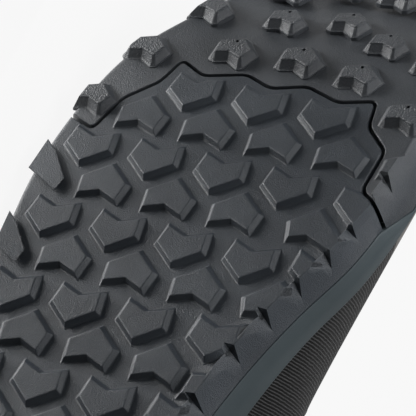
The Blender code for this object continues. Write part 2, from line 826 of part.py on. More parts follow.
def build_laces(material, parts, tools):
    """Crossing runs and the lowest bar, joined into one solid."""
    rows = eyelets()
    runs = [lace_run(*rows[0])]
    for lower, upper in zip(rows, rows[1:]):
        runs.append(lace_run(lower[0], upper[1]))
        runs.append(lace_run(lower[1], upper[0]))
    tubes = []
    for number, run in enumerate(runs):
        curve = bpy.data.curves.new("lace_run", "CURVE")
        curve.dimensions = "3D"
        curve.bevel_depth = LACE_RADIUS * MM
        curve.bevel_resolution = LACE_ROUNDING
        curve.use_fill_caps = True
        spline = curve.splines.new("POLY")
        spline.points.add(len(run) - 1)
        for point, place in zip(spline.points, run):
            point.co = (*(MM * place), 1.0)
        tube = bpy.data.objects.new("lace_run", curve)
        tools.objects.link(tube)
        solid = baked(tube, f"lace_run_{number}", tools)
        work = bmesh.new()
        work.from_mesh(solid.data)
        bmesh.ops.remove_doubles(work, verts=work.verts, dist=WELD_DISTANCE * MM)
        bmesh.ops.recalc_face_normals(work, faces=work.faces)
        work.to_mesh(solid.data)
        work.free()
        tubes.append(solid)
    laces = new_object("laces", tubes[0].data.copy(), parts, material)
    bpy.data.objects.remove(tubes[0], do_unlink=True)
    for tube in tubes[1:]:
        add_boolean(laces, as_cutter(tube), "UNION", "MANIFOLD")
    return laces


def lay_down(items):
    """Lays the shoe on its lateral side: toe to -X, sole to -Y, medial side up."""
    onto_side = Matrix(((0.0, -1.0, 0.0), (0.0, 0.0, 1.0), (-1.0, 0.0, 0.0))).to_4x4()
    roll = Matrix.Rotation(math.radians(LAY_ROLL_DEG), 4, "X")
    pitch = Matrix.Rotation(math.radians(LAY_PITCH_DEG), 4, "Y")
    shift = Matrix.Translation(MM * Vector(LAY_SHIFT))
    holder = bpy.data.objects.new("laid_on_lateral_side", None)
    bpy.context.scene.collection.objects.link(holder)
    holder.matrix_world = shift @ pitch @ roll @ onto_side
    for item in items:
        item.parent = holder


def main():
    clear_scene()
    parts = make_collection(OBJECT_NAME)
    tools = make_collection(OBJECT_NAME + "_cutters")
    half_groove = 0.5 * GROOVE_WIDTH
    rubber = make_material("rubber_grey", RUBBER_GREY)
    toe_rubber = make_material("toe_rubber_grey", TOE_RUBBER_GREY)
    foam = make_material("foam_blue_grey", FOAM_BLUE_GREY)
    textile = make_material("textile_black", TEXTILE_BLACK)
    footbed = make_material("insole_grey", INSOLE_GREY)
    lace = make_material("lace_black", LACE_BLACK)
    main_tread = build_outsole("outsole_main", field_lugs(), "DIFFERENCE", -half_groove, rubber, parts, tools)
    add_boolean(main_tread, build_notches(tools), "DIFFERENCE")
    items = [
        main_tread,
        build_outsole("outsole_toe", toe_lugs(), "INTERSECT", half_groove, toe_rubber, parts, tools),
        new_object("midsole", ring_mesh("midsole", midsole_profile), parts, foam),
        new_object("insole", ring_mesh("insole", insole_profile), parts, footbed),
        build_upper(textile, parts, tools),
        build_tongue(make_material("tongue_black", TEXTILE_BLACK), parts),
        build_laces(lace, parts, tools),
    ]
    lay_down(items + list(tools.objects))


main()
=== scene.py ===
import math
from collections import namedtuple

import bmesh
import bpy
import numpy as np
from mathutils import Matrix, Vector


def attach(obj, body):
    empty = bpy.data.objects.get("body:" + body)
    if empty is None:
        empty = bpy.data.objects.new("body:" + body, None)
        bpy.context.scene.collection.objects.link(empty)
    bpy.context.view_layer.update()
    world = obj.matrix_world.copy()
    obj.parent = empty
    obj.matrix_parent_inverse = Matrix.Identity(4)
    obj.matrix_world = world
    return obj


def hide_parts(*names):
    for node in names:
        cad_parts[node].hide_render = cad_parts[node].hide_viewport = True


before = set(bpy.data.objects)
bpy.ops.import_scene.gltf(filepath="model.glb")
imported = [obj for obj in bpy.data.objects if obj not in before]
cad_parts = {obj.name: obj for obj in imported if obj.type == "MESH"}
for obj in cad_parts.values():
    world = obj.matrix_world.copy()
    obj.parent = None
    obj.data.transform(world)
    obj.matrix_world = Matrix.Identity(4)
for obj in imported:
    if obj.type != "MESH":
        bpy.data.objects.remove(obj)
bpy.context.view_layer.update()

# Shapes are worked out in the shoe's own frame, in millimetres: +x lateral, +y toe, +z up, with the
# ground plane of the tread at z = 0 and the heel at y = 0. laid() takes them to the row frame.
MM = 0.001
GAP = 0.3

SoleSection = namedtuple("SoleSection", "y medial lateral band")
SOLE_SECTIONS = [SoleSection(*row) for row in (
    (0.0, 9.0, 9.0, 26.0), (5.0, -9.0, 27.0, 26.0), (18.0, -21.5, 40.0, 25.8),
    (42.0, -26.0, 45.0, 25.5), (80.0, -24.5, 44.5, 25.0), (118.0, -25.0, 43.5, 23.5),
    (150.0, -31.0, 45.5, 21.3), (178.0, -40.0, 48.0, 18.8), (200.0, -48.9, 49.6, 17.6),
    (222.0, -52.6, 47.8, 17.4), (244.0, -53.2, 42.8, 16.8), (264.0, -50.0, 32.0, 15.6),
    (281.0, -42.3, 21.3, 14.4), (293.0, -31.5, 9.5, 13.6), (300.0, -11.0, -11.0, 13.2),
)]
UpperSection = namedtuple("UpperSection", "y half height rise lean reach drop")
UPPER_SECTIONS = [UpperSection(*row) for row in (
    (5.0, 0.0, 95.0, 26.0, 5.0, 2.0, 22.0), (8.0, 13.5, 94.4, 26.0, 5.0, 2.0, 22.0),
    (20.0, 24.5, 90.5, 26.0, 4.0, 3.0, 20.0), (46.0, 30.0, 82.0, 26.0, 3.0, 4.0, 18.0),
    (82.0, 31.0, 80.5, 24.0, 2.5, 5.0, 18.0), (114.0, 25.0, 91.0, 22.0, 2.0, 8.0, 16.0),
    (139.0, 18.5, 96.0, 22.0, 2.0, 11.0, 12.0), (159.0, 16.0, 89.0, 22.0, 2.5, 13.0, 9.0),
    (175.0, 15.0, 82.0, 22.0, 3.0, 15.0, 8.0), (189.0, 13.5, 75.5, 21.0, 3.0, 17.0, 7.0),
    (200.0, 11.0, 71.0, 20.0, 3.5, 20.0, 7.0), (207.0, 7.5, 68.5, 20.0, 4.0, 26.0, 8.0),
    (211.0, 4.0, 67.3, 20.0, 4.0, 34.0, 9.0), (212.7, 1.6, 67.0, 20.0, 4.0, 40.0, 10.0),
    (213.0, 0.0, 67.0, 20.0, 4.0, 42.0, 10.0),
)]
TOE_STATION = len(SOLE_SECTIONS) - 1
LOOP_LENGTH = 2 * TOE_STATION
SOLE_LENGTH = SOLE_SECTIONS[-1].y
THROAT_SHIFT = -3.0
THROAT_SHIFT_GROWTH = 2.0
SLOPE_STEP = 0.02

LUG_HEIGHT = 1.4
BALL_CURVE_START = 200.0
BALL_CURVE_RADIUS = 500.0
TOE_CURVE_START = 246.0
TOE_CURVE_RADIUS = 140.0
HEEL_CURVE_START = 32.0
HEEL_CURVE_RADIUS = 120.0
ARCH_RISE = 2.4
ARCH_PLACE = 105.0
ARCH_HALF_LENGTH = 72.0

PLATE_THICKNESS = 3.0
EDGE_HEIGHT = 6.5
EDGE_FLARE = 2.9
EDGE_THICKNESS = 2.4
EDGE_SLOPE = EDGE_FLARE / EDGE_HEIGHT
INNER_EDGE_INSET = 2.0
BUMPER_START_MEDIAL = 209.0
BUMPER_START_LATERAL = 222.0
BUMPER_RAMP = 14.5
BUMPER_FLARE = 1.9
BUMPER_DROP = 1.5
BAND_BULGE = 3.5
BAND_TOP = 2.0
HEEL_BULGE = 2.7
HEEL_BULGE_START = 60.0
HEEL_BULGE_FADE = 60.0
MIDSOLE_CLEARANCE = 1.5 * GAP

LUG_PITCH_ACROSS = 21.0
LUG_PITCH_ALONG = 24.7
LUG_COLUMN_X = -5.0
LUG_ROW_Y = 188.0
LUG_FIELD_COLUMNS = range(-4, 5)
LUG_FIELD_ROWS = range(-8, 4)
LUG_MAX_PAST_GROOVE = 0.35
LUG_MIN_SHARE = 0.35
LUG_FOOT_GROW = 1.42
WHOLE_LUG_INSET = 1.6
MAIN_LUG_SPREAD = 0.004
MAIN_LUG_SEED = 11
LUG_PLAN = ((0.0, -6.6), (6.9, -1.4), (6.0, 4.1), (0.0, 1.9), (-6.0, 4.1), (-6.9, -1.4))
# Corners of a toe lug: across and along at its top, then across and along at its base
TOE_LUG_CORNERS = (
    (-6.0, -0.5, -7.7, -2.0), (-5.6, -0.85, -6.0, -2.6), (-1.65, 0.1, -2.0, -1.6),
    (2.15, -1.3, 2.1, -3.8), (2.95, -1.3, 3.4, -3.3), (4.5, 2.05, 5.7, 2.0),
    (0.5, 5.6, 0.9, 7.0), (-5.9, 3.5, -7.6, 4.6),
)
TOE_LUG_PINHOLE = (-1.0, 4.0)
TOE_LUG_PLACES = (
    (9.7, 251.7), (-10.9, 253.2), (-30.4, 251.0), (1.6, 267.8), (-16.8, 271.6), (-31.8, 265.6),
    (-49.5, 240.5), (-48.6, 261.0), (-24.0, 287.6), (-7.6, 288.6), (7.6, 281.8),
)
TOE_EDGE_LUG_PLACES = ((42.7, 226.4), (35.4, 246.7), (25.9, 266.8))
TOE_LUG_SHRINK = 0.1
TOE_LUG_SHRINK_START = 256.0
TOE_LUG_SHRINK_FADE = 10.0
TOE_LUG_SPREAD = 0.02
TOE_LUG_SEED = 5

# Lugs that run out into the medial edge, as top outlines: distance to the medial side, then along
MEDIAL_LUG_PLANS = (
    ((42.1, 210.8), (56.0, 199.8), (56.0, 209.5), (51.7, 212.1), (47.8, 214.4), (42.7, 215.1)),
    ((38.8, 207.0), (32.1, 201.8), (33.6, 197.0), (38.5, 198.8), (53.0, 193.0), (53.0, 195.2)),
    ((38.9, 188.0), (50.0, 180.0), (52.0, 187.8), (39.4, 193.1)),
    ((38.0, 182.8), (30.3, 176.3), (31.8, 172.3), (38.2, 173.8), (44.0, 171.5), (47.0, 176.8)),
    ((20.2, 161.6), (27.1, 156.9), (33.8, 162.3), (32.9, 167.5), (26.7, 165.4), (21.1, 167.4)),
    ((25.4, 145.2), (34.0, 146.5), (34.0, 152.3), (26.3, 151.1)),
)
MEDIAL_TOE_LUG_PLAN = ((49.8, 222.1), (58.0, 222.8), (58.0, 230.8), (52.9, 228.6), (49.8, 227.0))
LATERAL_LUG_PLAN = ((-39.1, 199.2), (-39.8, 195.7), (-55.0, 202.8), (-55.0, 213.8), (-45.7, 206.8))
LATERAL_LUG_SHIFTS = (0.0, -24.7)
LATERAL_LUGS_START = 165.0
LATERAL_LUGS_X = 40.0
MEDIAL_LUGS_START = 141.0
MEDIAL_LUGS_WIDTH = 12.5

# V notches in the medial rim: along the shoe, and the tip's height over the tread floor
Notch = namedtuple("Notch", "root tip tip_height end")
TOE_NOTCH = Notch(222.98, 219.6, 2.96, 214.3)
RIM_NOTCHES = [Notch(*row) for row in (
    (204.56, 203.1, 2.34, 198.4), (195.56, 193.04, 2.82, 188.4), (185.24, 182.82, 3.27, 178.2),
    (173.95, 171.72, 3.74, 165.4), (161.81, 159.77, 3.49, 151.0), (145.88, 143.92, 4.33, 138.2),
    (132.3, 130.2, 4.0, 123.5),
)]
HEEL_NOTCH = Notch(119.95, 117.85, 4.0, 111.2)
HEEL_NOTCH_STEP = Notch(12.35, 12.35, 0.0, 12.35)
HEEL_NOTCH_COUNT = 8
GROOVE_WIDTH = 1.1
GROOVE_CORNER = 2.2
GROOVE_CORNER_STEPS = 6
GROOVE_ROUTE = (
    (-3.20, 1.52), (-2.50, 1.33), (-2.12, 1.21), (-1.95, 1.70), (-1.56, 2.04), (-1.43, 2.41),
    (-1.01, 2.24), (-0.41, 2.38), (0.02, 2.25), (0.51, 2.38), (1.04, 2.24), (1.54, 2.36),
    (1.62, 2.00), (2.01, 1.72), (1.98, 1.16), (2.23, 1.03), (2.90, 0.30),
)

UPPER_WALL = 2.2
UPPER_SEAT = 1.6
INSOLE_THICKNESS = 4.0
INSOLE_INSET = 1.6
MEDIAL_LEAN = -1.5
MEDIAL_RISE = 4.2
MEDIAL_LEAN_START = 160.0
MEDIAL_LEAN_FULL = 198.0
MEDIAL_LEAN_END = 252.0
MEDIAL_LEAN_GONE = 292.0
MEDIAL_INSOLE_INSET = 2.4
TONGUE_THICKNESS = 4.0
TONGUE_CLEARANCE = 0.5
TONGUE_UNDERLAP = 11.0
TONGUE_CROWN = 2.2
TONGUE_FRONT_STATION = 13.0
TONGUE_BACK_STATION = 6.0
TONGUE_TOP_REACH = 30.0
TONGUE_TOP_WIDTH = 0.82
EYELET_COUNT = 6
EYELET_FIRST_STATION = 10.1
EYELET_LAST_STATION = 6.1
EYELET_INSET = 7.0
EYELET_RADIUS = 2.2
EYELET_BORE = 8.0
EYELET_SEGMENTS = 20
LACE_RADIUS = 1.8

LAY_ROLL_DEG = -7.83
LAY_PITCH_DEG = 0.41
LAY_SHIFT = np.array((148.145, -48.076, 52.942))


def lay_matrix():
    onto_side = Matrix(((0.0, -1.0, 0.0), (0.0, 0.0, 1.0), (-1.0, 0.0, 0.0)))
    roll = Matrix.Rotation(math.radians(LAY_ROLL_DEG), 3, "X")
    pitch = Matrix.Rotation(math.radians(LAY_PITCH_DEG), 3, "Y")
    return np.array(pitch @ roll @ onto_side)


LAY = lay_matrix()


def laid(points):
    """Shoe millimetres to metres of the row frame."""
    return (np.asarray(points, float) @ LAY.T + LAY_SHIFT) * MM


def smoothstep(value):
    value = min(max(value, 0.0), 1.0)
    return value * value * (3.0 - 2.0 * value)


def mix(a, b, share):
    return a + (b - a) * share


def shares(steps):
    """Even steps from 0 to 1."""
    return [k / steps for k in range(steps + 1)]


def unit(vector):
    return vector / np.linalg.norm(vector)


def right_of(step):
    """Unit vector square to a step in the plan, on its right."""
    return np.array((step[1], -step[0])) / np.linalg.norm(step)


def hermite(start, end, leave, arrive, part):
    """Cubic from start to end with its slopes at both, at a part of the way."""
    h2 = smoothstep(part)
    h3 = part * (1.0 - part) ** 2
    h4 = part * part * (part - 1.0)
    return start * (1.0 - h2) + end * h2 + leave * h3 + arrive * h4


# Curves through the section tables

def loop_knots():
    lateral = [(row.lateral, row.y) for row in SOLE_SECTIONS]
    medial = [(row.medial, row.y) for row in reversed(SOLE_SECTIONS[1:-1])]
    return np.array(lateral + medial)


KNOTS = loop_knots()


def loop_places(count):
    return [k * LOOP_LENGTH / count for k in range(count)]


def edge_point(t):
    """Edge of the tread floor: lateral side from heel to toe, then the medial side back."""
    first = math.floor(t)
    p0, p1, p2, p3 = (KNOTS[(first + k) % LOOP_LENGTH] for k in (-1, 0, 1, 2))
    before, here, after = (np.linalg.norm(step) for step in (p1 - p0, p2 - p1, p3 - p2))
    leave = ((p1 - p0) / before - (p2 - p0) / (before + here)) * here + (p2 - p1)
    arrive = ((p3 - p2) / after - (p3 - p1) / (here + after)) * here + (p2 - p1)
    return hermite(p1, p2, leave, arrive, t - first)


def edge_outward(t):
    return right_of(edge_point(t + SLOPE_STEP) - edge_point(t - SLOPE_STEP))


def station_of(t):
    t = t % LOOP_LENGTH
    return t if t <= TOE_STATION else LOOP_LENGTH - t


def side_of(t):
    """+1 on the lateral side, -1 on the medial side."""
    return 1.0 if t % LOOP_LENGTH <= TOE_STATION else -1.0


def along_sections(sections, column, station):
    first = min(math.floor(station), TOE_STATION - 1)
    places = [TOE_STATION - abs(TOE_STATION - abs(first + k)) for k in (-1, 0, 1, 2)]
    v0, v1, v2, v3 = (getattr(sections[place], column) for place in places)
    return hermite(v1, v2, 0.5 * (v2 - v0), 0.5 * (v3 - v1), station - first)


def centre_x(y):
    distances = [row.y for row in SOLE_SECTIONS]
    middles = [0.5 * (row.medial + row.lateral) for row in SOLE_SECTIONS]
    return float(np.interp(y, distances, middles))


def floor_height(y):
    """Height of the tread floor over the ground: arch, toe spring and heel bevel."""
    ball = max(y - BALL_CURVE_START, 0.0)
    toe = max(y - TOE_CURVE_START, 0.0)
    heel = max(HEEL_CURVE_START - y, 0.0)
    arch = ARCH_RISE * max(1.0 - ((y - ARCH_PLACE) / ARCH_HALF_LENGTH) ** 2, 0.0) ** 2
    spring = ball * ball / (2.0 * BALL_CURVE_RADIUS) + toe * toe / (2.0 * TOE_CURVE_RADIUS)
    return LUG_HEIGHT + arch + spring + heel * heel / (2.0 * HEEL_CURVE_RADIUS)


def floor_slope(y):
    return (floor_height(y + SLOPE_STEP) - floor_height(y - SLOPE_STEP)) / (2.0 * SLOPE_STEP)


def bumper_share(t):
    y = edge_point(t)[1]
    start = BUMPER_START_LATERAL if side_of(t) > 0.0 else BUMPER_START_MEDIAL
    return min(max((y - start) / BUMPER_RAMP, 0.0), 1.0)


def band_height(t):
    return along_sections(SOLE_SECTIONS, "band", station_of(t))


def rim_height(t):
    return mix(EDGE_HEIGHT, band_height(t) - BUMPER_DROP, bumper_share(t))


def rim_offset(t):
    return mix(EDGE_FLARE, BUMPER_FLARE, bumper_share(t))


# Side profiles as (offset from the floor's edge, height over the floor)

MEDIAL_RIM_END = 224.0
MEDIAL_RIM_FADE = 8.0
MEDIAL_RIM_HEEL_FADE = 30.0
KNEE_SHARE = 0.85
KNEE_BELOW_RIM = 0.9
LIP_BLEND = 0.97
LIP_BLEND_DROP = 0.5
LIP_START_DROP = 0.45
# Inset from the rim's outer side and drop from its top
RIM_LIP = ((0.03, 0.16), (0.22, 0.0), (EDGE_THICKNESS, 0.0))

TreadRing = namedtuple("TreadRing", "medial_offset medial_height lateral_offset lateral_height")
TREAD_RINGS = [TreadRing(*row) for row in (
    (-8.0, 0.0, -8.0, 0.0), (-2.35, 0.0, -1.6, 0.0), (-2.05, -0.06, -1.2, 0.01),
    (-1.9, -0.2, -0.85, 0.04), (-1.55, -1.2, -0.55, 0.1), (-1.45, -1.34, -0.32, 0.2),
    (-1.3, -1.37, -0.14, 0.33), (-0.8, -1.37, 0.02, 0.52), (-0.62, -1.3, 0.18, 0.8),
    (-0.5, -1.1, 0.42, 1.25), (0.45, 1.0, 1.0, 2.5),
)]


def medial_share(t):
    """1 where the medial side carries its raised rim, fading out on the toe rubber."""
    if side_of(t) > 0.0:
        return 0.0
    y = edge_point(t)[1]
    return smoothstep((MEDIAL_RIM_END - y) / MEDIAL_RIM_FADE + 0.5) * smoothstep(y / MEDIAL_RIM_HEEL_FADE)


def tread_profile(t):
    share = medial_share(t)
    rim = rim_height(t)
    outer = rim_offset(t)
    rings = [(mix(row.lateral_offset, row.medial_offset, share),
              mix(row.lateral_height, row.medial_height, share)) for row in TREAD_RINGS]
    knee = min(KNEE_SHARE * EDGE_HEIGHT, rim - KNEE_BELOW_RIM)
    rings.append((EDGE_SLOPE * knee, knee))
    rings.append((mix(EDGE_SLOPE * (rim - LIP_BLEND_DROP), outer, LIP_BLEND), rim - LIP_START_DROP))
    rings.extend((outer - inset, rim - drop) for inset, drop in RIM_LIP)
    rings.append((-INNER_EDGE_INSET, PLATE_THICKNESS))
    return rings


def band_bulge(t):
    heel_share = 1.0 - smoothstep((edge_point(t)[1] - HEEL_BULGE_START) / HEEL_BULGE_FADE)
    return mix(BAND_BULGE + HEEL_BULGE * heel_share, BAND_TOP, bumper_share(t))


BAND_CURVE = (0.04, 0.1, 0.18, 0.28, 0.4, 0.52, 0.64, 0.75, 0.85, 0.92, 0.97)
BAND_PLACES = (0.0, 0.4, 0.75, 1.0)
BAND_SOFTENING = 0.7
BAND_SOFT_REACH = 0.1
# Inset with rise at the band's foot, and inset with drop at its top
BAND_FOOT = ((0.35, 0.0), (0.08, 0.06))
BAND_LIP = ((0.08, 0.02), (0.5, 0.0))


def band_profile(t):
    rim = rim_height(t) + GAP
    outer = rim_offset(t)
    top = band_height(t)
    bulge = band_bulge(t)
    offsets = (outer, bulge, mix(bulge, BAND_TOP, 0.5), BAND_TOP)
    rings = [
        (-INNER_EDGE_INSET - MIDSOLE_CLEARANCE, PLATE_THICKNESS + GAP),
        (outer - EDGE_THICKNESS - MIDSOLE_CLEARANCE, rim),
    ]
    rings.extend((outer - inset, rim + rise) for inset, rise in BAND_FOOT)
    for share in BAND_CURVE:
        around = (share, share - BAND_SOFT_REACH, share + BAND_SOFT_REACH)
        bend, low, high = (float(np.interp(place, BAND_PLACES, offsets)) for place in around)
        rings.append((mix(bend, 0.5 * low + 0.5 * high, BAND_SOFTENING), mix(rim, top, share)))
    rings.extend((BAND_TOP - inset, top - drop) for inset, drop in BAND_LIP)
    return rings


def medial_lean_share(t):
    """1 where the medial wall leans in fully, 0 on the lateral side and at heel and toe tip."""
    if side_of(t) > 0.0:
        return 0.0
    y = edge_point(t)[1]
    begun = smoothstep((y - MEDIAL_LEAN_START) / (MEDIAL_LEAN_FULL - MEDIAL_LEAN_START))
    return begun * smoothstep((MEDIAL_LEAN_GONE - y) / (MEDIAL_LEAN_GONE - MEDIAL_LEAN_END))


# Inset with rise at the insole's foot, and inset with drop at its top
INSOLE_FOOT = ((0.3, 0.0), (0.0, 0.4))
INSOLE_LIP = ((0.0, 0.7), (0.3, 0.2), (1.0, 0.0), (6.0, 0.0))


def insole_profile(t):
    bottom = band_height(t) + GAP
    top = bottom + INSOLE_THICKNESS
    inset = INSOLE_INSET + MEDIAL_INSOLE_INSET * medial_lean_share(t)
    rings = [(-inset - inward, bottom + rise) for inward, rise in INSOLE_FOOT]
    rings.extend((-inset - inward, top - drop) for inward, drop in INSOLE_LIP)
    return rings


# Mesh helpers

SHARP_DEG = 38.0
LUG_SHARP_DEG = 50.0
CLOTH_SHARP_DEG = 60.0


def shade(mesh, sharp_deg):
    mesh.shade_smooth()
    mesh.set_sharp_from_angle(angle=math.radians(sharp_deg))


def mesh_of(name, places, faces=()):
    mesh = bpy.data.meshes.new(name)
    mesh.from_pydata(places, [], faces)
    return mesh


def mesh_from(name, work):
    """Takes the mesh out of a bmesh, which is freed."""
    mesh = bpy.data.meshes.new(name)
    work.to_mesh(mesh)
    work.free()
    return mesh


def new_piece(name, data, material=None):
    item = bpy.data.objects.new(name, data)
    bpy.context.scene.collection.objects.link(item)
    if material is not None:
        data.materials.append(material)
    return item


def drop_piece(item):
    bpy.data.objects.remove(item, do_unlink=True)


def finished_piece(name, mesh, material, sharp_deg):
    """Piece of a mesh with its faces turned outwards, and smooth but for sharp edges."""
    work = bmesh.new()
    work.from_mesh(mesh)
    bmesh.ops.recalc_face_normals(work, faces=work.faces)
    work.to_mesh(mesh)
    work.free()
    shade(mesh, sharp_deg)
    return new_piece(name, mesh, material)


def piece_from(name, points, faces, material=None, sharp_deg=SHARP_DEG):
    return finished_piece(name, mesh_of(name, laid(points).tolist(), faces), material, sharp_deg)


def ring_faces(columns, ring_count):
    faces = []
    for column in range(columns):
        here, after = column * ring_count, ((column + 1) % columns) * ring_count
        faces.extend((here + ring, after + ring, after + ring + 1, here + ring + 1)
                     for ring in range(ring_count - 1))
    return faces


def cap_faces(columns, ring_count, ring):
    """Strips from side to side that close a ring round the sole."""
    faces = []
    for column in range(columns // 2):
        places = (column, column + 1, -column - 1, -column)
        corners = [(place % columns) * ring_count + ring for place in places]
        faces.append(tuple(dict.fromkeys(corners)))
    return faces


def row_faces(count, rows, closed=True):
    """Faces between rows of points, each row a closed ring or an open strip."""
    faces = []
    for row in range(rows - 1):
        low, high = row * count, (row + 1) * count
        for k in range(count if closed else count - 1):
            after = (k + 1) % count
            faces.append((low + k, low + after, high + after, high + k))
    return faces


def sole_ring_piece(name, profile, columns, material):
    points = []
    for t in loop_places(columns):
        edge = edge_point(t)
        outward = edge_outward(t)
        base = floor_height(edge[1])
        rings = profile(t)
        points.extend((*(edge + outward * offset), base + height) for offset, height in rings)
    count = len(rings)
    faces = ring_faces(columns, count)
    for ring in (0, count - 1):
        faces.extend(cap_faces(columns, count, ring))
    return piece_from(name, points, faces, material)


def evaluated_mesh(item):
    return bpy.data.meshes.new_from_object(item.evaluated_get(bpy.context.evaluated_depsgraph_get()))


def settle(item, sharp_deg=SHARP_DEG):
    """Applies the modifiers and keeps the piece as a plain mesh."""
    mesh = evaluated_mesh(item)
    item.modifiers.clear()
    item.data = mesh
    mesh.name = item.name
    shade(mesh, sharp_deg)
    return item


def cut(item, tool, operation="DIFFERENCE"):
    modifier = item.modifiers.new("cut", "BOOLEAN")
    modifier.operation = operation
    modifier.solver = "EXACT"
    modifier.object = tool
    settle(item)
    drop_piece(tool)


def thicken(item, thickness, **settings):
    """Gives a sheet its thickness, inwards from the side that was drawn."""
    modifier = item.modifiers.new("thickness", "SOLIDIFY")
    modifier.thickness = thickness * MM
    modifier.offset = -1.0
    for key, value in settings.items():
        setattr(modifier, key, value)
    return settle(item, CLOTH_SHARP_DEG)


def bore_tool(name, matrices, radius, depth, segments):
    """Round cutters, their radius and depth in millimetres."""
    work = bmesh.new()
    for matrix in matrices:
        bmesh.ops.create_cone(work, cap_ends=True, segments=segments, radius1=radius * MM,
                              radius2=radius * MM, depth=depth * MM, matrix=matrix)
    return new_piece(name, mesh_from(name, work))


def mark_points(mesh, name, kind, values):
    """Writes a value or a vector for every point."""
    attribute = mesh.attributes.new(name, kind, "POINT")
    key = "vector" if kind == "FLOAT_VECTOR" else "value"
    attribute.data.foreach_set(key, np.array(values, np.float32).ravel())


def mesh_places(mesh):
    """The mesh's points in the shoe's own frame."""
    flat = np.empty(3 * len(mesh.vertices), np.float32)
    mesh.vertices.foreach_get("co", flat)
    return (flat.reshape(-1, 3).astype(float) / MM - LAY_SHIFT) @ LAY


# Materials

def open_material(name):
    material = bpy.data.materials.new(name)
    material.use_nodes = True
    tree = material.node_tree
    return material, tree, tree.nodes["Principled BSDF"]


def is_socket(value):
    return isinstance(value, bpy.types.NodeSocket)


def feed(node, inputs):
    """Sets each input to its value, or links it to the output given for it."""
    for key, value in inputs.items():
        if is_socket(value):
            node.id_data.links.new(value, node.inputs[key])
        else:
            node.inputs[key].default_value = value


def add(tree, kind, inputs, **settings):
    node = tree.nodes.new(kind)
    for key, value in settings.items():
        setattr(node, key, value)
    feed(node, inputs)
    return node


def calc(operation, *values):
    tree = next(value for value in values if is_socket(value)).id_data
    return add(tree, "ShaderNodeMath", dict(enumerate(values)), operation=operation).outputs[0]


def place_in_mm(tree):
    """Object coordinates as millimetres."""
    place = add(tree, "ShaderNodeTexCoord", {}).outputs["Object"]
    return add(tree, "ShaderNodeVectorMath", {0: place, "Scale": 1.0 / MM}, operation="SCALE").outputs[0]


def noise(place, per_mm, detail=3.0, roughness=0.55):
    inputs = {"Vector": place, "Scale": per_mm, "Detail": detail, "Roughness": roughness}
    return add(place.id_data, "ShaderNodeTexNoise", inputs).outputs["Fac"]


def span(value, given, wanted=(0.0, 1.0)):
    """Takes a value from one range to another."""
    inputs = {"Value": value, "From Min": given[0], "From Max": given[1],
              "To Min": wanted[0], "To Max": wanted[1]}
    return add(value.id_data, "ShaderNodeMapRange", inputs).outputs[0]


def tint(factor, first, second):
    """Mixes two colours, each a triple or another node's output."""
    ends = [end if is_socket(end) else (*end, 1.0) for end in (first, second)]
    inputs = {"Factor": factor, 6: ends[0], 7: ends[1]}
    return add(factor.id_data, "ShaderNodeMix", inputs, data_type="RGBA").outputs[2]


def bump(height, strength, distance_mm):
    inputs = {"Strength": strength, "Distance": distance_mm * MM, "Height": height}
    return add(height.id_data, "ShaderNodeBump", inputs).outputs["Normal"]


# Ranges that the noises mostly fill
NOISE_MIDDLE = (0.3, 0.7)
NOISE_MOST = (0.2, 0.8)

CLOUD_SHARE = 0.55
GRAIN_SHARE = 0.45
ROUGHNESS_SWING = 0.06
RUBBER_RELIEF = 0.12
RubberLook = namedtuple("RubberLook", "dark light roughness grain_per_mm grain pebbles_per_mm top_grain")


def moulded_rubber(name, look):
    """Fine moulded grain, coarser on the lugs' tops where the look asks for it."""
    material, tree, shader = open_material(name)
    place = place_in_mm(tree)
    cloud = noise(place, per_mm=0.05, detail=2.0)
    grain = noise(place, look.grain_per_mm, detail=3.0, roughness=0.6)
    pebbles = noise(place, look.pebbles_per_mm, detail=1.5, roughness=0.5)
    top = add(tree, "ShaderNodeAttribute", {}, attribute_name="lug_top").outputs["Fac"]
    both = calc("ADD", calc("MULTIPLY", cloud, CLOUD_SHARE), calc("MULTIPLY", grain, GRAIN_SHARE))
    raised = calc("MULTIPLY", calc("MULTIPLY", pebbles, top), look.top_grain)
    relief = calc("ADD", calc("MULTIPLY", grain, look.grain), raised)
    roughness = (look.roughness + ROUGHNESS_SWING, look.roughness - ROUGHNESS_SWING)
    feed(shader, {
        "Base Color": tint(span(both, NOISE_MIDDLE), look.dark, look.light),
        "Roughness": span(grain, NOISE_MOST, roughness),
        "Normal": bump(relief, strength=1.0, distance_mm=RUBBER_RELIEF),
    })
    return material


FOAM_DARK = (0.042, 0.054, 0.060)
FOAM_LIGHT = (0.050, 0.063, 0.069)
FOAM_ROUGHNESS = (0.58, 0.5)


def band_foam():
    material, tree, shader = open_material("midsole_foam")
    place = place_in_mm(tree)
    cloud = noise(place, per_mm=0.08)
    pores = noise(place, per_mm=2.2, detail=2.0)
    feed(shader, {
        "Base Color": tint(span(cloud, NOISE_MIDDLE), FOAM_DARK, FOAM_LIGHT),
        "Roughness": span(pores, NOISE_MOST, FOAM_ROUGHNESS),
        "Normal": bump(pores, strength=0.08, distance_mm=0.08),
    })
    return material


RIB_PITCH = 0.85
RIB_LEAN_DEG = 72.0
RIB_WOBBLE = 0.4
RIB_WAVE = (-0.15, 0.7)
RIB_FUZZ = (0.5, 1.2)
FILM_START = 214.0
FILM_EDGE = 1.0
FILM_COLOUR = (0.052, 0.049, 0.042)
TEXTILE_TO_FILM_ROUGHNESS = (0.85, 0.5)


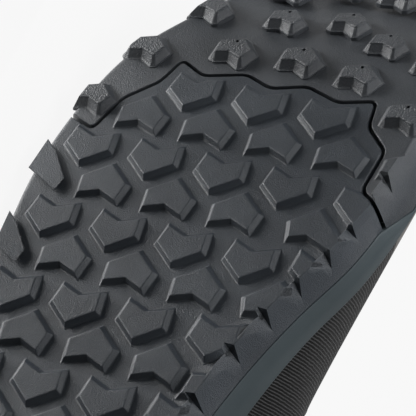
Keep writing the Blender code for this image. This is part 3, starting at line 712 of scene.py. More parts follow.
def ribbed_textile(name, dark, light):
    """Leaning ribs, with a smooth film over them round the toe; the ribs' crests take the lighter colour, a
    painted highlight.
    """
    material, tree, shader = open_material(name)
    place = add(tree, "ShaderNodeAttribute", {}, attribute_name="shoe_mm").outputs["Vector"]
    lean = math.radians(RIB_LEAN_DEG)
    across = add(tree, "ShaderNodeVectorMath", {0: place, 1: (0.0, math.sin(lean), -math.cos(lean))},
                 operation="DOT_PRODUCT")
    wobble = noise(place, per_mm=0.35, detail=2.0)
    shifted = calc("ADD", across.outputs["Value"], calc("MULTIPLY", wobble, RIB_WOBBLE))
    wave = calc("SINE", calc("MULTIPLY", shifted, 2.0 * math.pi / RIB_PITCH))
    fuzz = noise(place, per_mm=3.0, detail=2.0)
    along = add(tree, "ShaderNodeSeparateXYZ", {0: place}).outputs["Y"]
    film = span(along, (FILM_START, FILM_START + FILM_EDGE))
    rib = span(wave, RIB_WAVE)
    # Painted highlight: the lighter colour goes on the ribs' crests, where the rib height is greatest.
    crest_highlight = calc("MULTIPLY", rib, span(fuzz, NOISE_MIDDLE, RIB_FUZZ))
    height = calc("MULTIPLY", rib, calc("SUBTRACT", 1.0, film))
    feed(shader, {
        "Base Color": tint(film, tint(crest_highlight, dark, light), FILM_COLOUR),
        "Roughness": span(film, (0.0, 1.0), TEXTILE_TO_FILM_ROUGHNESS),
        "Sheen Weight": 0.06,
        "Sheen Roughness": 0.5,
        "Specular IOR Level": 0.2,
        "Normal": bump(height, strength=0.8, distance_mm=0.25),
    })
    return material


def knitted_cloth(name, dark, light, per_mm):
    material, tree, shader = open_material(name)
    stitch = {"Vector": place_in_mm(tree), "Scale": per_mm}
    distance = add(tree, "ShaderNodeTexVoronoi", stitch).outputs["Distance"]
    raised = calc("SUBTRACT", 1.0, distance)
    # Painted shade: the stitches' raised middles take the light colour and the hollows between them the
    # dark one.
    feed(shader, {
        "Base Color": tint(distance, light, dark),
        "Roughness": 0.9,
        "Sheen Weight": 0.3,
        "Specular IOR Level": 0.2,
        "Normal": bump(raised, strength=0.4, distance_mm=0.15),
    })
    return material


# Tread lugs

def grown(plan, distance):
    """Plan with every side moved outwards by a distance."""
    plan = np.asarray(plan, float)
    result = []
    for k in range(len(plan)):
        normal_before = right_of(plan[k] - plan[k - 1])
        normal_after = right_of(plan[(k + 1) % len(plan)] - plan[k])
        total = normal_before + normal_after
        result.append(plan[k] + distance * total / (1.0 + normal_before @ normal_after))
    return np.array(result)


CORNER_STEPS = 4
CORNER_REACH = 0.45


def corner_curve(before, corner, after, radius, steps):
    """Short curve in place of a corner."""
    back, ahead = before - corner, after - corner
    back_length, ahead_length = np.linalg.norm(back), np.linalg.norm(ahead)
    reach = min(radius, CORNER_REACH * back_length, CORNER_REACH * ahead_length)
    bends = [back / back_length * (1.0 - share) ** 2 + ahead / ahead_length * share ** 2
             for share in shares(steps)]
    return [corner + reach * bend for bend in bends]


def round_corners(plan, radius):
    """Corners replaced by short curves, the same count for every plan."""
    count = len(plan)
    return np.concatenate([corner_curve(plan[k - 1], plan[k], plan[(k + 1) % count], radius, CORNER_STEPS)
                           for k in range(count)])


LugRing = namedtuple("LugRing", "depth grow rounding")
LUG_RINGS = [LugRing(*row) for row in (
    (-0.9, 1.64, 0.5), (-0.02, 1.62, 0.5), (0.015, 1.38, 0.45), (0.08, 1.2, 0.4),
    (0.2, 1.05, 0.35), (1.02, 0.34, 0.3), (1.2, 0.19, 0.3), (1.33, 0.02, 0.3),
    (1.39, -0.16, 0.3), (1.4, -0.34, 0.3), (1.4, -0.6, 0.3),
)]
STEEP_WALL = 0.88
FIELD_LUG_RINGS = [ring._replace(grow=min(ring.grow, STEEP_WALL * ring.grow)) for ring in LUG_RINGS]
ToeLugRing = namedtuple("ToeLugRing", "depth share grow rounding")
TOE_LUG_RINGS = [ToeLugRing(*row) for row in (
    (-1.2, 0.0, 0.5, 0.4), (-0.03, 0.0, 0.48, 0.4), (0.03, 0.0, 0.26, 0.35),
    (0.15, 0.03, 0.1, 0.3), (0.4, 0.12, 0.02, 0.28), (2.1, 0.82, 0.0, 0.28),
    (2.35, 0.93, 0.0, 0.28), (2.52, 1.0, -0.06, 0.28), (2.59, 1.0, -0.2, 0.26),
    (2.6, 1.0, -0.36, 0.24), (2.6, 1.0, -0.6, 0.2),
)]
TOE_LUG_HEIGHT = TOE_LUG_RINGS[-1].depth
TALL_LUG = 2.0


def ring_loop(plan, ring):
    return [(*point, ring.depth) for point in round_corners(grown(plan, ring.grow), ring.rounding)]


def lug_loops(plan, rings):
    """Rings of one lug in its own frame: across, along, out of the sole."""
    return [ring_loop(plan, ring) for ring in rings]


def toe_lug_loops():
    """Rings of one toe lug, from its wide base to its top."""
    corners = np.array(TOE_LUG_CORNERS)
    top, base = corners[:, :2], corners[:, 2:]
    return [ring_loop(mix(base, top, ring.share), ring) for ring in TOE_LUG_RINGS]


def lug_faces(count, ring_count):
    caps = [tuple(reversed(range(count))), tuple(range((ring_count - 1) * count, ring_count * count))]
    return row_faces(count, ring_count) + caps


def lug_pattern(name, loops):
    """One lug in metres; its axes are across, along and out of the sole."""
    points = [tuple(MM * c for c in point) for loop in loops for point in loop]
    mesh = mesh_of(name, points, lug_faces(len(loops[0]), len(loops)))
    return finished_piece(name, mesh, None, LUG_SHARP_DEG)


Lug = namedtuple("Lug", "x y turned")


def turn_of(lug):
    return -1.0 if lug.turned else 1.0


def lug_axes(lug):
    """Columns: across, along and out of the sole, square to the curved tread floor."""
    slope = floor_slope(lug.y)
    level = 1.0 / math.hypot(1.0, slope)
    along = turn_of(lug) * np.array((0.0, level, slope * level))
    out = np.array((0.0, slope * level, -level))
    return np.column_stack((np.cross(along, out), along, out))


def lug_base(lug):
    return np.array((lug.x, lug.y, floor_height(lug.y)))


def lug_corners(lug, plan):
    return turn_of(lug) * np.array(plan) + np.array((lug.x, lug.y))


def groove_curve():
    """Route of the groove in the shoe's plan, with rounded corners, close-set."""
    route = [np.array((LUG_COLUMN_X - across * LUG_PITCH_ACROSS, LUG_ROW_Y + along * LUG_PITCH_ALONG))
             for across, along in GROOVE_ROUTE]
    bends = [corner_curve(*route[k - 1:k + 2], GROOVE_CORNER, GROOVE_CORNER_STEPS)
             for k in range(1, len(route) - 1)]
    return np.concatenate(([route[0]], *bends, [route[-1]]))


GROOVE = groove_curve()


def inside(point, polygon):
    hit = False
    for k in range(len(polygon)):
        (ax, ay), (bx, by) = polygon[k - 1], polygon[k]
        if (ay > point[1]) != (by > point[1]):
            if point[0] < ax + (point[1] - ay) * (bx - ax) / (by - ay):
                hit = not hit
    return hit


REGION_REACH = 400.0


def toe_region(shift):
    """Plan of all that lies past the groove, with its route moved sideways by a shift."""
    route = GROOVE + shift * np.array([right_of(step) for step in np.gradient(GROOVE, axis=0)])
    reach = REGION_REACH
    far_corners = ((-reach, route[-1][1]), (-reach, reach), (reach, reach), (reach, route[0][1]))
    return np.vstack((route, far_corners))


GROOVE_LIP = 0.28
GROOVE_LIP_START = -0.02
GROOVE_TOOL_LOW = -30.0
GROOVE_TOOL_HIGH = 70.0


def groove_tool(name, shift, lip):
    """Everything on the toe side of the groove, with a small bevel at the tread floor."""
    levels = ((GROOVE_TOOL_LOW, lip), (GROOVE_LIP_START, lip), (GROOVE_LIP, 0.0), (GROOVE_TOOL_HIGH, 0.0))
    points = []
    for depth, extra in levels:
        plan = toe_region(shift + extra)
        points.extend((x, y, floor_height(min(max(y, 0.0), SOLE_LENGTH)) + depth) for x, y in plan)
    count = len(points) // len(levels)
    caps = [tuple(range(count)), tuple(range((len(levels) - 1) * count, len(levels) * count))]
    return piece_from(name, points, caps + row_faces(count, len(levels)))


OUTLINE_POINTS = 112


def field_lugs():
    """Lattice of lugs over the main rubber; every second one points to the toe."""
    regions = ([edge_point(t) for t in loop_places(OUTLINE_POINTS)], toe_region(0.0))
    lugs = []
    for column in LUG_FIELD_COLUMNS:
        for row in LUG_FIELD_ROWS:
            for turned in (False, True):
                x = LUG_COLUMN_X - (column + 0.5 * turned) * LUG_PITCH_ACROSS
                y = LUG_ROW_Y + (row - 0.5 * turned) * LUG_PITCH_ALONG
                lug = Lug(x, y, turned)
                corners = lug_corners(lug, LUG_PLAN)
                on_sole, past_groove = (sum(inside(corner, region) for corner in corners) / len(corners)
                                        for region in regions)
                if on_sole >= LUG_MIN_SHARE and past_groove <= LUG_MAX_PAST_GROOVE:
                    lugs.append(lug)
    return lugs


EDGE_SAMPLE_COUNT = 1120
EDGE_SAMPLES = loop_places(EDGE_SAMPLE_COUNT)
EDGE_POINTS = np.array([edge_point(t) for t in EDGE_SAMPLES])


def nearest_edge(point):
    k = int(np.argmin(np.linalg.norm(EDGE_POINTS - np.asarray(point)[:2], axis=1)))
    return EDGE_SAMPLES[k], EDGE_POINTS[k]


def edge_offset(point):
    """Distance of a plan point past the tread's edge, negative inside."""
    t, edge = nearest_edge(point)
    return (np.asarray(point)[:2] - edge) @ edge_outward(t)


def split_lugs():
    """Lugs that stand whole on the floor, and those that run into the sole's edge."""
    whole, edge = [], []
    for lug in field_lugs():
        corners = lug_corners(lug, grown(LUG_PLAN, LUG_FOOT_GROW))
        furthest = max(edge_offset(corner) for corner in corners)
        (whole if furthest < -WHOLE_LUG_INSET else edge).append(lug)
    return whole, edge


INSTANCER_INPUTS = (("Geometry", "Geometry"), ("Lug", "Object"), ("Rubber", "Material"),
                    ("Size Spread", "Float"), ("Seed", "Int"))


def lug_instancer(name):
    """Places a lug on every point, turned and sized as the point's own attributes say."""
    tree = bpy.data.node_groups.new(name, "GeometryNodeTree")
    for socket, kind in INSTANCER_INPUTS:
        tree.interface.new_socket(socket, in_out="INPUT", socket_type="NodeSocket" + kind)
    tree.interface.new_socket("Geometry", in_out="OUTPUT", socket_type="NodeSocketGeometry")
    given = add(tree, "NodeGroupInput", {}).outputs
    lug = add(tree, "GeometryNodeObjectInfo", {"Object": given["Lug"]}, transform_space="ORIGINAL")
    turn = add(tree, "GeometryNodeInputNamedAttribute", {"Name": "turn"}, data_type="FLOAT_VECTOR")
    size = add(tree, "GeometryNodeInputNamedAttribute", {"Name": "size"}, data_type="FLOAT")
    low, high = (calc(operation, 1.0, given["Size Spread"]) for operation in ("SUBTRACT", "ADD"))
    limits = {2: low, 3: high, "Seed": given["Seed"]}
    chance = add(tree, "FunctionNodeRandomValue", limits, data_type="FLOAT")
    place = add(tree, "GeometryNodeInstanceOnPoints", {
        "Points": given["Geometry"],
        "Instance": lug.outputs["Geometry"],
        "Rotation": add(tree, "FunctionNodeEulerToRotation", {0: turn.outputs["Attribute"]}).outputs[0],
        "Scale": calc("MULTIPLY", chance.outputs[1], size.outputs["Attribute"]),
    })
    real = add(tree, "GeometryNodeRealizeInstances", {0: place.outputs[0]})
    paint = add(tree, "GeometryNodeSetMaterial", {"Geometry": real.outputs[0], "Material": given["Rubber"]})
    add(tree, "NodeGroupOutput", {0: paint.outputs[0]})
    return tree


def set_inputs(modifier, values):
    for item in modifier.node_group.interface.items_tree:
        if item.item_type == "SOCKET" and item.in_out == "INPUT" and item.name in values:
            modifier[item.identifier] = values[item.name]


def lug_size(lug):
    """Lugs get a little smaller towards the toe's tip."""
    return 1.0 - TOE_LUG_SHRINK * smoothstep((lug.y - TOE_LUG_SHRINK_START) / TOE_LUG_SHRINK_FADE)


def lugs_on_points(name, lugs, pattern, material, spread, seed):
    """One piece with the pattern on every lug's place; the pattern itself goes."""
    mesh = mesh_of(name, laid([lug_base(lug) for lug in lugs]).tolist())
    eulers = [tuple(Matrix((LAY @ lug_axes(lug)).tolist()).to_euler("XYZ")) for lug in lugs]
    mark_points(mesh, "turn", "FLOAT_VECTOR", eulers)
    mark_points(mesh, "size", "FLOAT", [lug_size(lug) for lug in lugs])
    item = new_piece(name, mesh)
    modifier = item.modifiers.new("lugs", "NODES")
    modifier.node_group = lug_instancer(name + "_tree")
    set_inputs(modifier, {"Lug": pattern, "Rubber": material, "Size Spread": spread, "Seed": seed})
    settle(item, LUG_SHARP_DEG)
    drop_piece(pattern)
    return item


EDGE_LUG_INSET = 0.16
LATERAL_LUG_INSET = -1.2
CUT_NEARNESS = 1e-5


def add_cut_lug(target, loops, lug, inset):
    """Adds one lug, cut off beside the ramp at the sole's edge."""
    loops = np.array(loops)
    points = loops.reshape(-1, 3) @ lug_axes(lug).T + lug_base(lug)
    t, edge = nearest_edge(max((edge_offset(p), tuple(p)) for p in points)[1])
    outward = np.array((*edge_outward(t), 0.0))
    normal = outward - np.array((0.0, 0.0, EDGE_SLOPE))
    origin = np.array((*edge, floor_height(edge[1]))) - outward * inset
    part = bmesh.new()
    corners = [part.verts.new(p) for p in points]
    for face in lug_faces(loops.shape[1], loops.shape[0]):
        part.faces.new([corners[k] for k in face])
    bmesh.ops.bisect_plane(part, geom=part.verts[:] + part.edges[:] + part.faces[:], dist=CUT_NEARNESS,
                           plane_co=origin, plane_no=normal, clear_outer=True)
    bmesh.ops.holes_fill(part, edges=[e for e in part.edges if e.is_boundary])
    kept = mesh_from("lug_part", part)
    target.from_mesh(kept)
    bpy.data.meshes.remove(kept)


def edge_lugs_piece(name, items, material):
    """Lugs cut by the sole's side, as (rings, lug, inset) triples."""
    whole = bmesh.new()
    for loops, lug, inset in items:
        add_cut_lug(whole, loops, lug, inset)
    for vert in whole.verts:
        vert.co = laid(vert.co[:])
    return finished_piece(name, mesh_from(name, whole), material, LUG_SHARP_DEG)


def planned_lug(plan, inset):
    """Rings, place and inset of a lug given by its own outline on the sole."""
    plan = np.array(plan)
    middle = plan.mean(axis=0)
    return lug_loops(plan - middle, LUG_RINGS), Lug(-middle[0], middle[1], False), inset


def taken_by_edge_lugs(lug):
    """Lattice places that the lugs of the medial and lateral edge take."""
    t, _ = nearest_edge((lug.x, lug.y))
    if side_of(t) > 0.0:
        return lug.x > LATERAL_LUGS_X and lug.y > LATERAL_LUGS_START
    return edge_offset((lug.x, lug.y)) > -MEDIAL_LUGS_WIDTH and lug.y > MEDIAL_LUGS_START


# Notches in the medial rim

NOTCH_FOOT_BACK = 1.2
NOTCH_FOOT_OFFSET = -2.0
RIM_TOP_HEIGHT = -1.4
NOTCH_INWARD = 0.4
NOTCH_OUT = 5.0
NOTCH_PAST_END = 1.35
HALVINGS = 40


def medial_t(y):
    """Place on the medial side of the loop, found by halving."""
    low, high = float(TOE_STATION), float(LOOP_LENGTH)
    for _ in range(HALVINGS):
        middle = 0.5 * (low + high)
        if edge_point(middle)[1] > y:
            low = middle
        else:
            high = middle
    return low


def ramp_point(y, height):
    t = medial_t(y)
    plan = edge_point(t) + edge_outward(t) * EDGE_SLOPE * height
    return np.array((*plan, floor_height(y) + height))


def notch_prism(notch):
    """Wedge with a steep wall at its toe end and a long slope to the heel."""
    root = ramp_point(notch.root, RIM_TOP_HEIGHT)
    tip = ramp_point(notch.tip, notch.tip_height)
    end = ramp_point(notch.end, RIM_TOP_HEIGHT)
    t = medial_t(notch.root - NOTCH_FOOT_BACK)
    edge = edge_point(t)
    foot = np.array((*(edge + edge_outward(t) * NOTCH_FOOT_OFFSET), floor_height(edge[1])))
    middle = 0.5 * (foot + tip)
    inner = foot + (foot - tip) * NOTCH_INWARD
    wall = unit(root - middle) * NOTCH_OUT
    slope = (end - middle) * NOTCH_PAST_END
    return [inner, tip, inner + wall, tip + wall, inner + slope, tip + slope]


def rim_notches():
    """Notches at the ball, then evenly spaced ones to the heel."""
    further = [Notch(*(start - k * step for start, step in zip(HEEL_NOTCH, HEEL_NOTCH_STEP)))
               for k in range(HEEL_NOTCH_COUNT)]
    return RIM_NOTCHES + further


PRISM_FACES = ((0, 1, 3, 2), (0, 4, 5, 1), (2, 3, 5, 4), (0, 2, 4), (1, 5, 3))


def notch_tool(name, notches):
    points, faces = [], []
    for notch in notches:
        first = len(points)
        points.extend(notch_prism(notch))
        faces.extend(tuple(first + k for k in face) for face in PRISM_FACES)
    return piece_from(name, points, faces)


PINHOLE_RADIUS = 0.5
PINHOLE_LENGTH = 2.8
PINHOLE_SEGMENTS = 14
LUG_TOP_START = 0.78
LUG_TOP_FADE = 0.14


def mark_lug_tops(item):
    """Point attribute that is 1 on the lugs' tops, for the coarser grain there."""
    heights = np.array([floor_height(p[1]) - p[2] for p in mesh_places(item.data)])
    full = TOE_LUG_HEIGHT if heights.max() > TALL_LUG else LUG_HEIGHT
    shares = np.clip((heights / full - LUG_TOP_START) / LUG_TOP_FADE, 0.0, 1.0)
    mark_points(item.data, "lug_top", "FLOAT", shares)


SOLE_COLUMNS = 448


def build_tread(rubber, toe_rubber):
    tread = sole_ring_piece("tread_main", tread_profile, SOLE_COLUMNS, rubber)
    toe = sole_ring_piece("tread_toe", tread_profile, SOLE_COLUMNS, toe_rubber)
    half = 0.5 * GROOVE_WIDTH
    cut(tread, groove_tool("main_cut", -half, -GROOVE_LIP))
    cut(toe, groove_tool("toe_cut", half, GROOVE_LIP), "INTERSECT")
    cut(tread, notch_tool("rim_notches", rim_notches()))
    cut(toe, notch_tool("toe_notch", (TOE_NOTCH,)))

    whole, edge = ([lug for lug in lugs if not taken_by_edge_lugs(lug)] for lugs in split_lugs())
    pattern = lug_pattern("lug_pattern", lug_loops(LUG_PLAN, FIELD_LUG_RINGS))
    lugs = lugs_on_points("tread_main_lugs", whole, pattern, rubber, MAIN_LUG_SPREAD, MAIN_LUG_SEED)
    cut_lugs = [(lug_loops(LUG_PLAN, LUG_RINGS), lug, EDGE_LUG_INSET) for lug in edge]
    cut_lugs.extend(planned_lug(plan, EDGE_LUG_INSET) for plan in MEDIAL_LUG_PLANS)
    for shift in LATERAL_LUG_SHIFTS:
        cut_lugs.append(planned_lug(np.array(LATERAL_LUG_PLAN) + (0.0, shift), LATERAL_LUG_INSET))
    edge_lugs = edge_lugs_piece("tread_edge_lugs", cut_lugs, rubber)
    cut(edge_lugs, groove_tool("edge_lug_cut", -half, -GROOVE_LIP))
    cut(edge_lugs, notch_tool("edge_lug_notches", rim_notches()))

    toe_pattern = lug_pattern("toe_lug_pattern", toe_lug_loops())
    pinhole = Matrix.Translation(Vector((*TOE_LUG_PINHOLE, TOE_LUG_HEIGHT)) * MM)
    cut(toe_pattern, bore_tool("pinhole", [pinhole], PINHOLE_RADIUS, PINHOLE_LENGTH, PINHOLE_SEGMENTS))
    on_floor, on_edge = ([Lug(*place, False) for place in places]
                         for places in (TOE_LUG_PLACES, TOE_EDGE_LUG_PLACES))
    toe_lugs = lugs_on_points("tread_toe_lugs", on_floor, toe_pattern, toe_rubber,
                              TOE_LUG_SPREAD, TOE_LUG_SEED)
    cut_toe_lugs = [(toe_lug_loops(), lug, LATERAL_LUG_INSET) for lug in on_edge]
    cut_toe_lugs.append(planned_lug(MEDIAL_TOE_LUG_PLAN, EDGE_LUG_INSET))
    toe_edge_lugs = edge_lugs_piece("toe_edge_lugs", cut_toe_lugs, toe_rubber)
    cut(toe_edge_lugs, notch_tool("toe_edge_lug_notch", (TOE_NOTCH,)))
    for item in (lugs, edge_lugs, toe_lugs, toe_edge_lugs):
        mark_lug_tops(item)
    return tread, toe, lugs, edge_lugs, toe_lugs, toe_edge_lugs


# Upper and what is inside it

def upper_handles(t):
    station = station_of(t)
    here = UpperSection(*(along_sections(UPPER_SECTIONS, column, station)
                          for column in UpperSection._fields))
    edge = edge_point(t)
    outward = edge_outward(t)
    foot = np.array((*(edge + outward * UPPER_SEAT), floor_height(edge[1]) + band_height(t) + GAP))
    middle = centre_x(here.y) + THROAT_SHIFT * smoothstep(station / TOE_STATION * THROAT_SHIFT_GROWTH)
    crown = np.array((middle + side_of(t) * here.half, here.y, here.height))
    towards = unit(foot[:2] - crown[:2])
    leaning = medial_lean_share(t)
    lean = mix(here.lean, MEDIAL_LEAN, leaning)
    lower = foot + np.array((*(outward * lean), mix(here.rise, MEDIAL_RISE, leaning)))
    upper = crown + np.array((*(towards * here.reach), -here.drop))
    return foot, lower, upper, crown


def on_curve(handles, share):
    foot, lower, upper, crown = handles
    rest = 1.0 - share
    return (foot * rest ** 3 + lower * 3.0 * share * rest ** 2
            + upper * 3.0 * share ** 2 * rest + crown * share ** 3)


def upper_point(t, share):
    return on_curve(upper_handles(t), share)


def upper_normal(t, share):
    up = upper_point(t, min(share + SLOPE_STEP, 1.0)) - upper_point(t, max(share - SLOPE_STEP, 0.0))
    round_loop = upper_point(t + SLOPE_STEP, share) - upper_point(t - SLOPE_STEP, share)
    return unit(np.cross(round_loop, up))


def share_at_inset(t, inset):
    _, _, upper, crown = upper_handles(t)
    return 1.0 - inset / (3.0 * np.linalg.norm(crown - upper))


def eyelets():
    """Lateral and medial place of each pair of eyelets, from the toe end up."""
    stations = [mix(EYELET_FIRST_STATION, EYELET_LAST_STATION, share) for share in shares(EYELET_COUNT - 1)]
    return [(station, LOOP_LENGTH - station) for station in stations]


UPPER_COLUMNS = 224
UPPER_ROWS = 44


def eyelet_matrix(t):
    share = share_at_inset(t, EYELET_INSET)
    place = Vector(laid([upper_point(t, share)])[0])
    turn = Vector(LAY @ upper_normal(t, share)).to_track_quat("Z", "Y").to_matrix().to_4x4()
    return Matrix.Translation(place) @ turn


def build_upper(textile, lining):
    points = []
    for t in loop_places(UPPER_COLUMNS):
        handles = upper_handles(t)
        points.extend(on_curve(handles, share) for share in shares(UPPER_ROWS))
    faces = ring_faces(UPPER_COLUMNS, UPPER_ROWS + 1)
    upper = piece_from("upper_shell", points, faces, textile, CLOTH_SHARP_DEG)
    upper.data.materials.append(lining)
    thicken(upper, UPPER_WALL, use_even_offset=True, material_offset=1)
    holes = [eyelet_matrix(t) for pair in eyelets() for t in pair]
    cut(upper, bore_tool("eyelet_holes", holes, EYELET_RADIUS, EYELET_BORE, EYELET_SEGMENTS))
    for vert in upper.data.vertices:
        vert.co.z = max(vert.co.z, 0.0)
    mark_points(upper.data, "shoe_mm", "FLOAT_VECTOR", mesh_places(upper.data))
    return upper


def off_upper(t, share, lift):
    return upper_point(t, share) + upper_normal(t, share) * lift


TONGUE_SIDE_STEPS = 4
TONGUE_BRIDGE_STEPS = 10


def tongue_row(station):
    lateral, medial = station, LOOP_LENGTH - station
    tuck = share_at_inset(lateral, TONGUE_UNDERLAP)
    flank = [mix(tuck, 1.0, share) for share in shares(TONGUE_SIDE_STEPS)]
    lift = -(UPPER_WALL + TONGUE_CLEARANCE)
    left = [off_upper(lateral, share, lift) for share in flank]
    right = [off_upper(medial, share, lift) for share in reversed(flank)]
    up = unit(upper_normal(lateral, 1.0) + upper_normal(medial, 1.0))
    bridge = [mix(left[-1], right[0], share) + up * TONGUE_CROWN * math.sin(math.pi * share)
              for share in shares(TONGUE_BRIDGE_STEPS)[1:-1]]
    return left + bridge + right


TONGUE_ROWS = 36
TONGUE_TOP_ROWS = 10
TONGUE_SLOPE_ROWS = 6


def build_tongue(cloth):
    rows = [tongue_row(mix(TONGUE_FRONT_STATION, TONGUE_BACK_STATION, share))
            for share in shares(TONGUE_ROWS - 1)]
    last = np.array(rows[-1])
    middle = np.mean(last, axis=0)
    along = unit(middle - np.mean(np.array(rows[-TONGUE_SLOPE_ROWS]), axis=0))
    for share in shares(TONGUE_TOP_ROWS)[1:]:
        narrowed = (last - middle) * mix(1.0, TONGUE_TOP_WIDTH, share)
        rows.append(list(middle + narrowed + along * TONGUE_TOP_REACH * share))
    faces = row_faces(len(last), len(rows), closed=False)
    points = [point for row in rows for point in row]
    tongue = piece_from("tongue_pad", points, faces, cloth, CLOTH_SHARP_DEG)
    return thicken(tongue, TONGUE_THICKNESS)


LACE_LIFT = 0.5
LACE_BOW = 0.3
LACE_TURN_INSET = 1.6
LACE_TURN_DROP = 0.2
LACE_SUNK = 1.0
LACE_FULLNESS = 0.9
LACE_BEVEL_STEPS = 4


def lace_point(t, inset, lift):
    return off_upper(t, share_at_inset(t, inset) if inset > 0.0 else 1.0, lift)


def lace_run(start, end, over):
    """One run from hole to hole: up out of one eyelet, over the throat, and down into the other."""
    ends = (start, end)
    lift = LACE_RADIUS + LACE_LIFT
    near, far = (lace_point(t, 0.0, lift) for t in ends)
    first, last = (lace_point(t, EYELET_INSET - LACE_TURN_INSET, lift - LACE_TURN_DROP) for t in ends)
    sunk_first, sunk_last = (lace_point(t, EYELET_INSET, -LACE_SUNK) for t in ends)
    bow = 0.5 * (near + far - first - last)
    middle = 0.5 * (near + far) + LACE_BOW * bow
    middle = middle + unit(upper_normal(start, 1.0) + upper_normal(end, 1.0)) * over
    return [sunk_first, first, near, middle, far, last, sunk_last]


def build_laces(cord):
    rows = eyelets()
    runs = [lace_run(*rows[0], 0.0)]
    for lower, upper in zip(rows, rows[1:]):
        runs.append(lace_run(lower[0], upper[1], LACE_RADIUS))
        runs.append(lace_run(lower[1], upper[0], 0.0))
    curve = bpy.data.curves.new("lace_runs", "CURVE")
    curve.dimensions = "3D"
    curve.bevel_depth = LACE_FULLNESS * LACE_RADIUS * MM
    curve.bevel_resolution = LACE_BEVEL_STEPS
    curve.use_fill_caps = True
    for run in runs:
        spline = curve.splines.new("BEZIER")
        spline.bezier_points.add(len(run) - 1)
        for point, place in zip(spline.bezier_points, laid(run)):
            point.co = place
            point.handle_left_type = "AUTO"
            point.handle_right_type = "AUTO"
    tube = new_piece("lace_tube", curve, cord)
    mesh = evaluated_mesh(tube)
    drop_piece(tube)
    mesh.name = "lace_runs"
    return finished_piece("lace_runs", mesh, None, CLOTH_SHARP_DEG)


# Stage

CAMERA_RIGHT = np.array((-0.8566, 0.4206, 0.2988))
CAMERA_UP = np.array((0.1987, 0.8035, -0.5612))
CAMERA_BACK = np.array((-0.4761, -0.4214, -0.7719))
CAMERA_SEES = (-5.0, 188.0, 1.4)
CAMERA_DISTANCE = 0.8077
CAMERA_CLIP_START = 0.05
SEEN_AT = (182.704, 244.894)
PICTURE_SIDE = 416.0
FOCAL_PIXELS = 3002.0
SENSOR_MM = 36.0


def place_camera():
    right, up, back = (LAY @ axis for axis in (CAMERA_RIGHT, CAMERA_UP, CAMERA_BACK))
    place = laid([CAMERA_SEES])[0] + back * CAMERA_DISTANCE
    middle = 0.5 * PICTURE_SIDE
    aim = (right * (middle - SEEN_AT[0]) + up * (SEEN_AT[1] - middle)) / FOCAL_PIXELS - back
    back = -unit(aim)
    right = unit(right - back * (right @ back))
    up = np.cross(back, right)
    camera = bpy.data.cameras.new("camera")
    camera.sensor_width = SENSOR_MM
    camera.lens = FOCAL_PIXELS / PICTURE_SIDE * SENSOR_MM
    camera.clip_start = CAMERA_CLIP_START
    turn = np.eye(4)
    turn[:3, :3] = np.column_stack((right, up, back))
    turn[:3, 3] = place
    item = new_piece("camera", camera)
    item.matrix_world = Matrix(turn.tolist())
    bpy.context.scene.camera = item


FLOOR_SIDE = 4.0
FLOOR_ALBEDO = 0.04
FLOOR_GLOW = 0.9
WHITE = (1.0, 1.0, 1.0, 1.0)


def flat_sheet(name, low, high, height, material):
    plan = (low, (high[0], low[1]), high, (low[0], high[1]))
    mesh = mesh_of(name, [(*corner, height) for corner in plan], [(0, 1, 2, 3)])
    return new_piece(name, mesh, material)


def pale_floor():
    """White light table that glows evenly and lets the lamp under it through."""
    material, _, shader = open_material("pale_floor")
    feed(shader, {
        "Base Color": (FLOOR_ALBEDO, FLOOR_ALBEDO, FLOOR_ALBEDO, 1.0),
        "Roughness": 0.9,
        "Specular IOR Level": 0.0,
        "Emission Color": WHITE,
        "Emission Strength": FLOOR_GLOW,
    })
    floor = flat_sheet("floor", (-FLOOR_SIDE, -FLOOR_SIDE), (FLOOR_SIDE, FLOOR_SIDE), 0.0, material)
    floor.visible_shadow = False
    return floor


DARK_CARDS = (
    ("heel_card", (-0.05, -0.6), (0.9, -0.055)),
    ("front_card", (-0.6, -0.9), (-0.05, -0.078)),
)
DARK_CARD_HEIGHT = 0.002


def dark_cards():
    """Black cards on the floor, out of the picture, that the rubber mirrors."""
    material, _, shader = open_material("dark_card")
    feed(shader, {"Base Color": (0.01, 0.01, 0.01, 1.0), "Roughness": 1.0})
    cards = [flat_sheet(*card, DARK_CARD_HEIGHT, material) for card in DARK_CARDS]
    for card in cards:
        card.visible_camera = False
        card.visible_shadow = False
    return cards


SoftPanel = namedtuple("SoftPanel", "name place faces side radiance mirrored")
SOFT_PANELS = [SoftPanel(*row) for row in (
    ("light_table_panel", (-0.24, -0.39, -0.65), (0.24, 0.43, 0.87), 0.34, 24.5, True),
    ("end_wall_panel", (-0.265, -0.29, 0.43), (0.43, 0.475, -0.76), 0.2, 3.5, True),
    ("overhead_panel", (-0.24, -0.09, 0.48), (0.42, 0.08, -0.85), 0.45, 1.6, True),
    ("overhead_fill", (-0.2, 0.02, 0.48), (0.36, -0.14, -0.93), 0.45, 3.0, False),
)]
WORLD_GLOW = 0.06


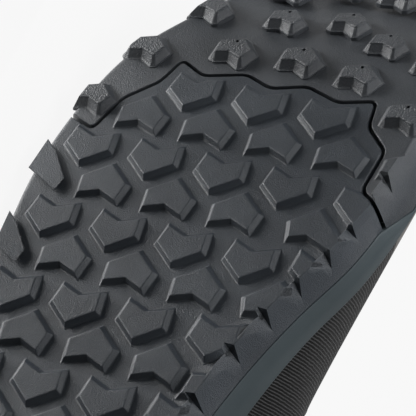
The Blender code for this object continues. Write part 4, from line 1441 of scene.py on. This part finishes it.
def soft_light():
    """A panel under the glowing table that rakes over the sole from its low side, and three overhead."""
    for panel in SOFT_PANELS:
        lamp = bpy.data.lights.new(panel.name, "AREA")
        lamp.shape = "SQUARE"
        lamp.size = panel.side
        lamp.energy = panel.radiance * math.pi * panel.side ** 2
        item = new_piece(panel.name, lamp)
        item.location = panel.place
        item.rotation_euler = Vector(panel.faces).to_track_quat("-Z", "Y").to_euler()
        item.visible_camera = False
        item.visible_glossy = panel.mirrored
    world = bpy.data.worlds.new("studio")
    bpy.context.scene.world = world
    world.use_nodes = True
    feed(world.node_tree.nodes["Background"], {"Color": WHITE, "Strength": WORLD_GLOW})
    bpy.context.scene.view_settings.view_transform = "Standard"


# Pieces

MAIN_RUBBER = RubberLook((0.0178, 0.0220, 0.028), (0.0435, 0.0515, 0.061), 0.36, 3.0, 1.3, 2.0, 0.4)
TOE_RUBBER = RubberLook((0.0255, 0.0285, 0.033), (0.0610, 0.0670, 0.075), 0.38, 2.6, 1.5, 2.0, 2.6)
rubber = moulded_rubber("main_rubber", MAIN_RUBBER)
toe_rubber = moulded_rubber("toe_rubber", TOE_RUBBER)
foam = band_foam()
# The upper's second colour is the ribs' painted highlight on the black textile.
textile = ribbed_textile("upper_textile", (0.0025, 0.0025, 0.0025), (0.052, 0.053, 0.054))
# In each knitted cloth the dark colour is painted shade in the hollows between the stitches.
lining = knitted_cloth("upper_lining", (0.012, 0.012, 0.013), (0.035, 0.035, 0.037), per_mm=1.1)
tongue_cloth = knitted_cloth("tongue_cloth", (0.012, 0.012, 0.013), (0.04, 0.04, 0.042), per_mm=0.9)
felt = knitted_cloth("insole_felt", (0.03, 0.031, 0.033), (0.07, 0.072, 0.075), per_mm=1.6)
cord = knitted_cloth("lace_cord", (0.015, 0.015, 0.016), (0.05, 0.05, 0.053), per_mm=1.3)

tread, toe, lugs, edge_lugs, toe_lugs, toe_edge_lugs = build_tread(rubber, toe_rubber)
band = sole_ring_piece("midsole_band", band_profile, SOLE_COLUMNS, foam)
insole = sole_ring_piece("insole_pad", insole_profile, SOLE_COLUMNS // 2, felt)
upper = build_upper(textile, lining)
tongue = build_tongue(tongue_cloth)
laces = build_laces(cord)

for node, slot_name, pieces in (
    ("outsole_main", "main_rubber", (tread, lugs, edge_lugs)),
    ("outsole_toe", "toe_rubber", (toe, toe_lugs, toe_edge_lugs)),
    ("midsole", "midsole_foam", (band,)),
    ("insole", "insole_foam", (insole,)),
    ("upper", "upper_textile", (upper,)),
    ("tongue", "tongue_textile", (tongue,)),
    ("laces", "lace_cord", (laces,)),
):
    for piece in pieces:
        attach(piece, "root")
        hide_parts(node)

pale_floor()
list(dark_cards())
soft_light()
place_camera()
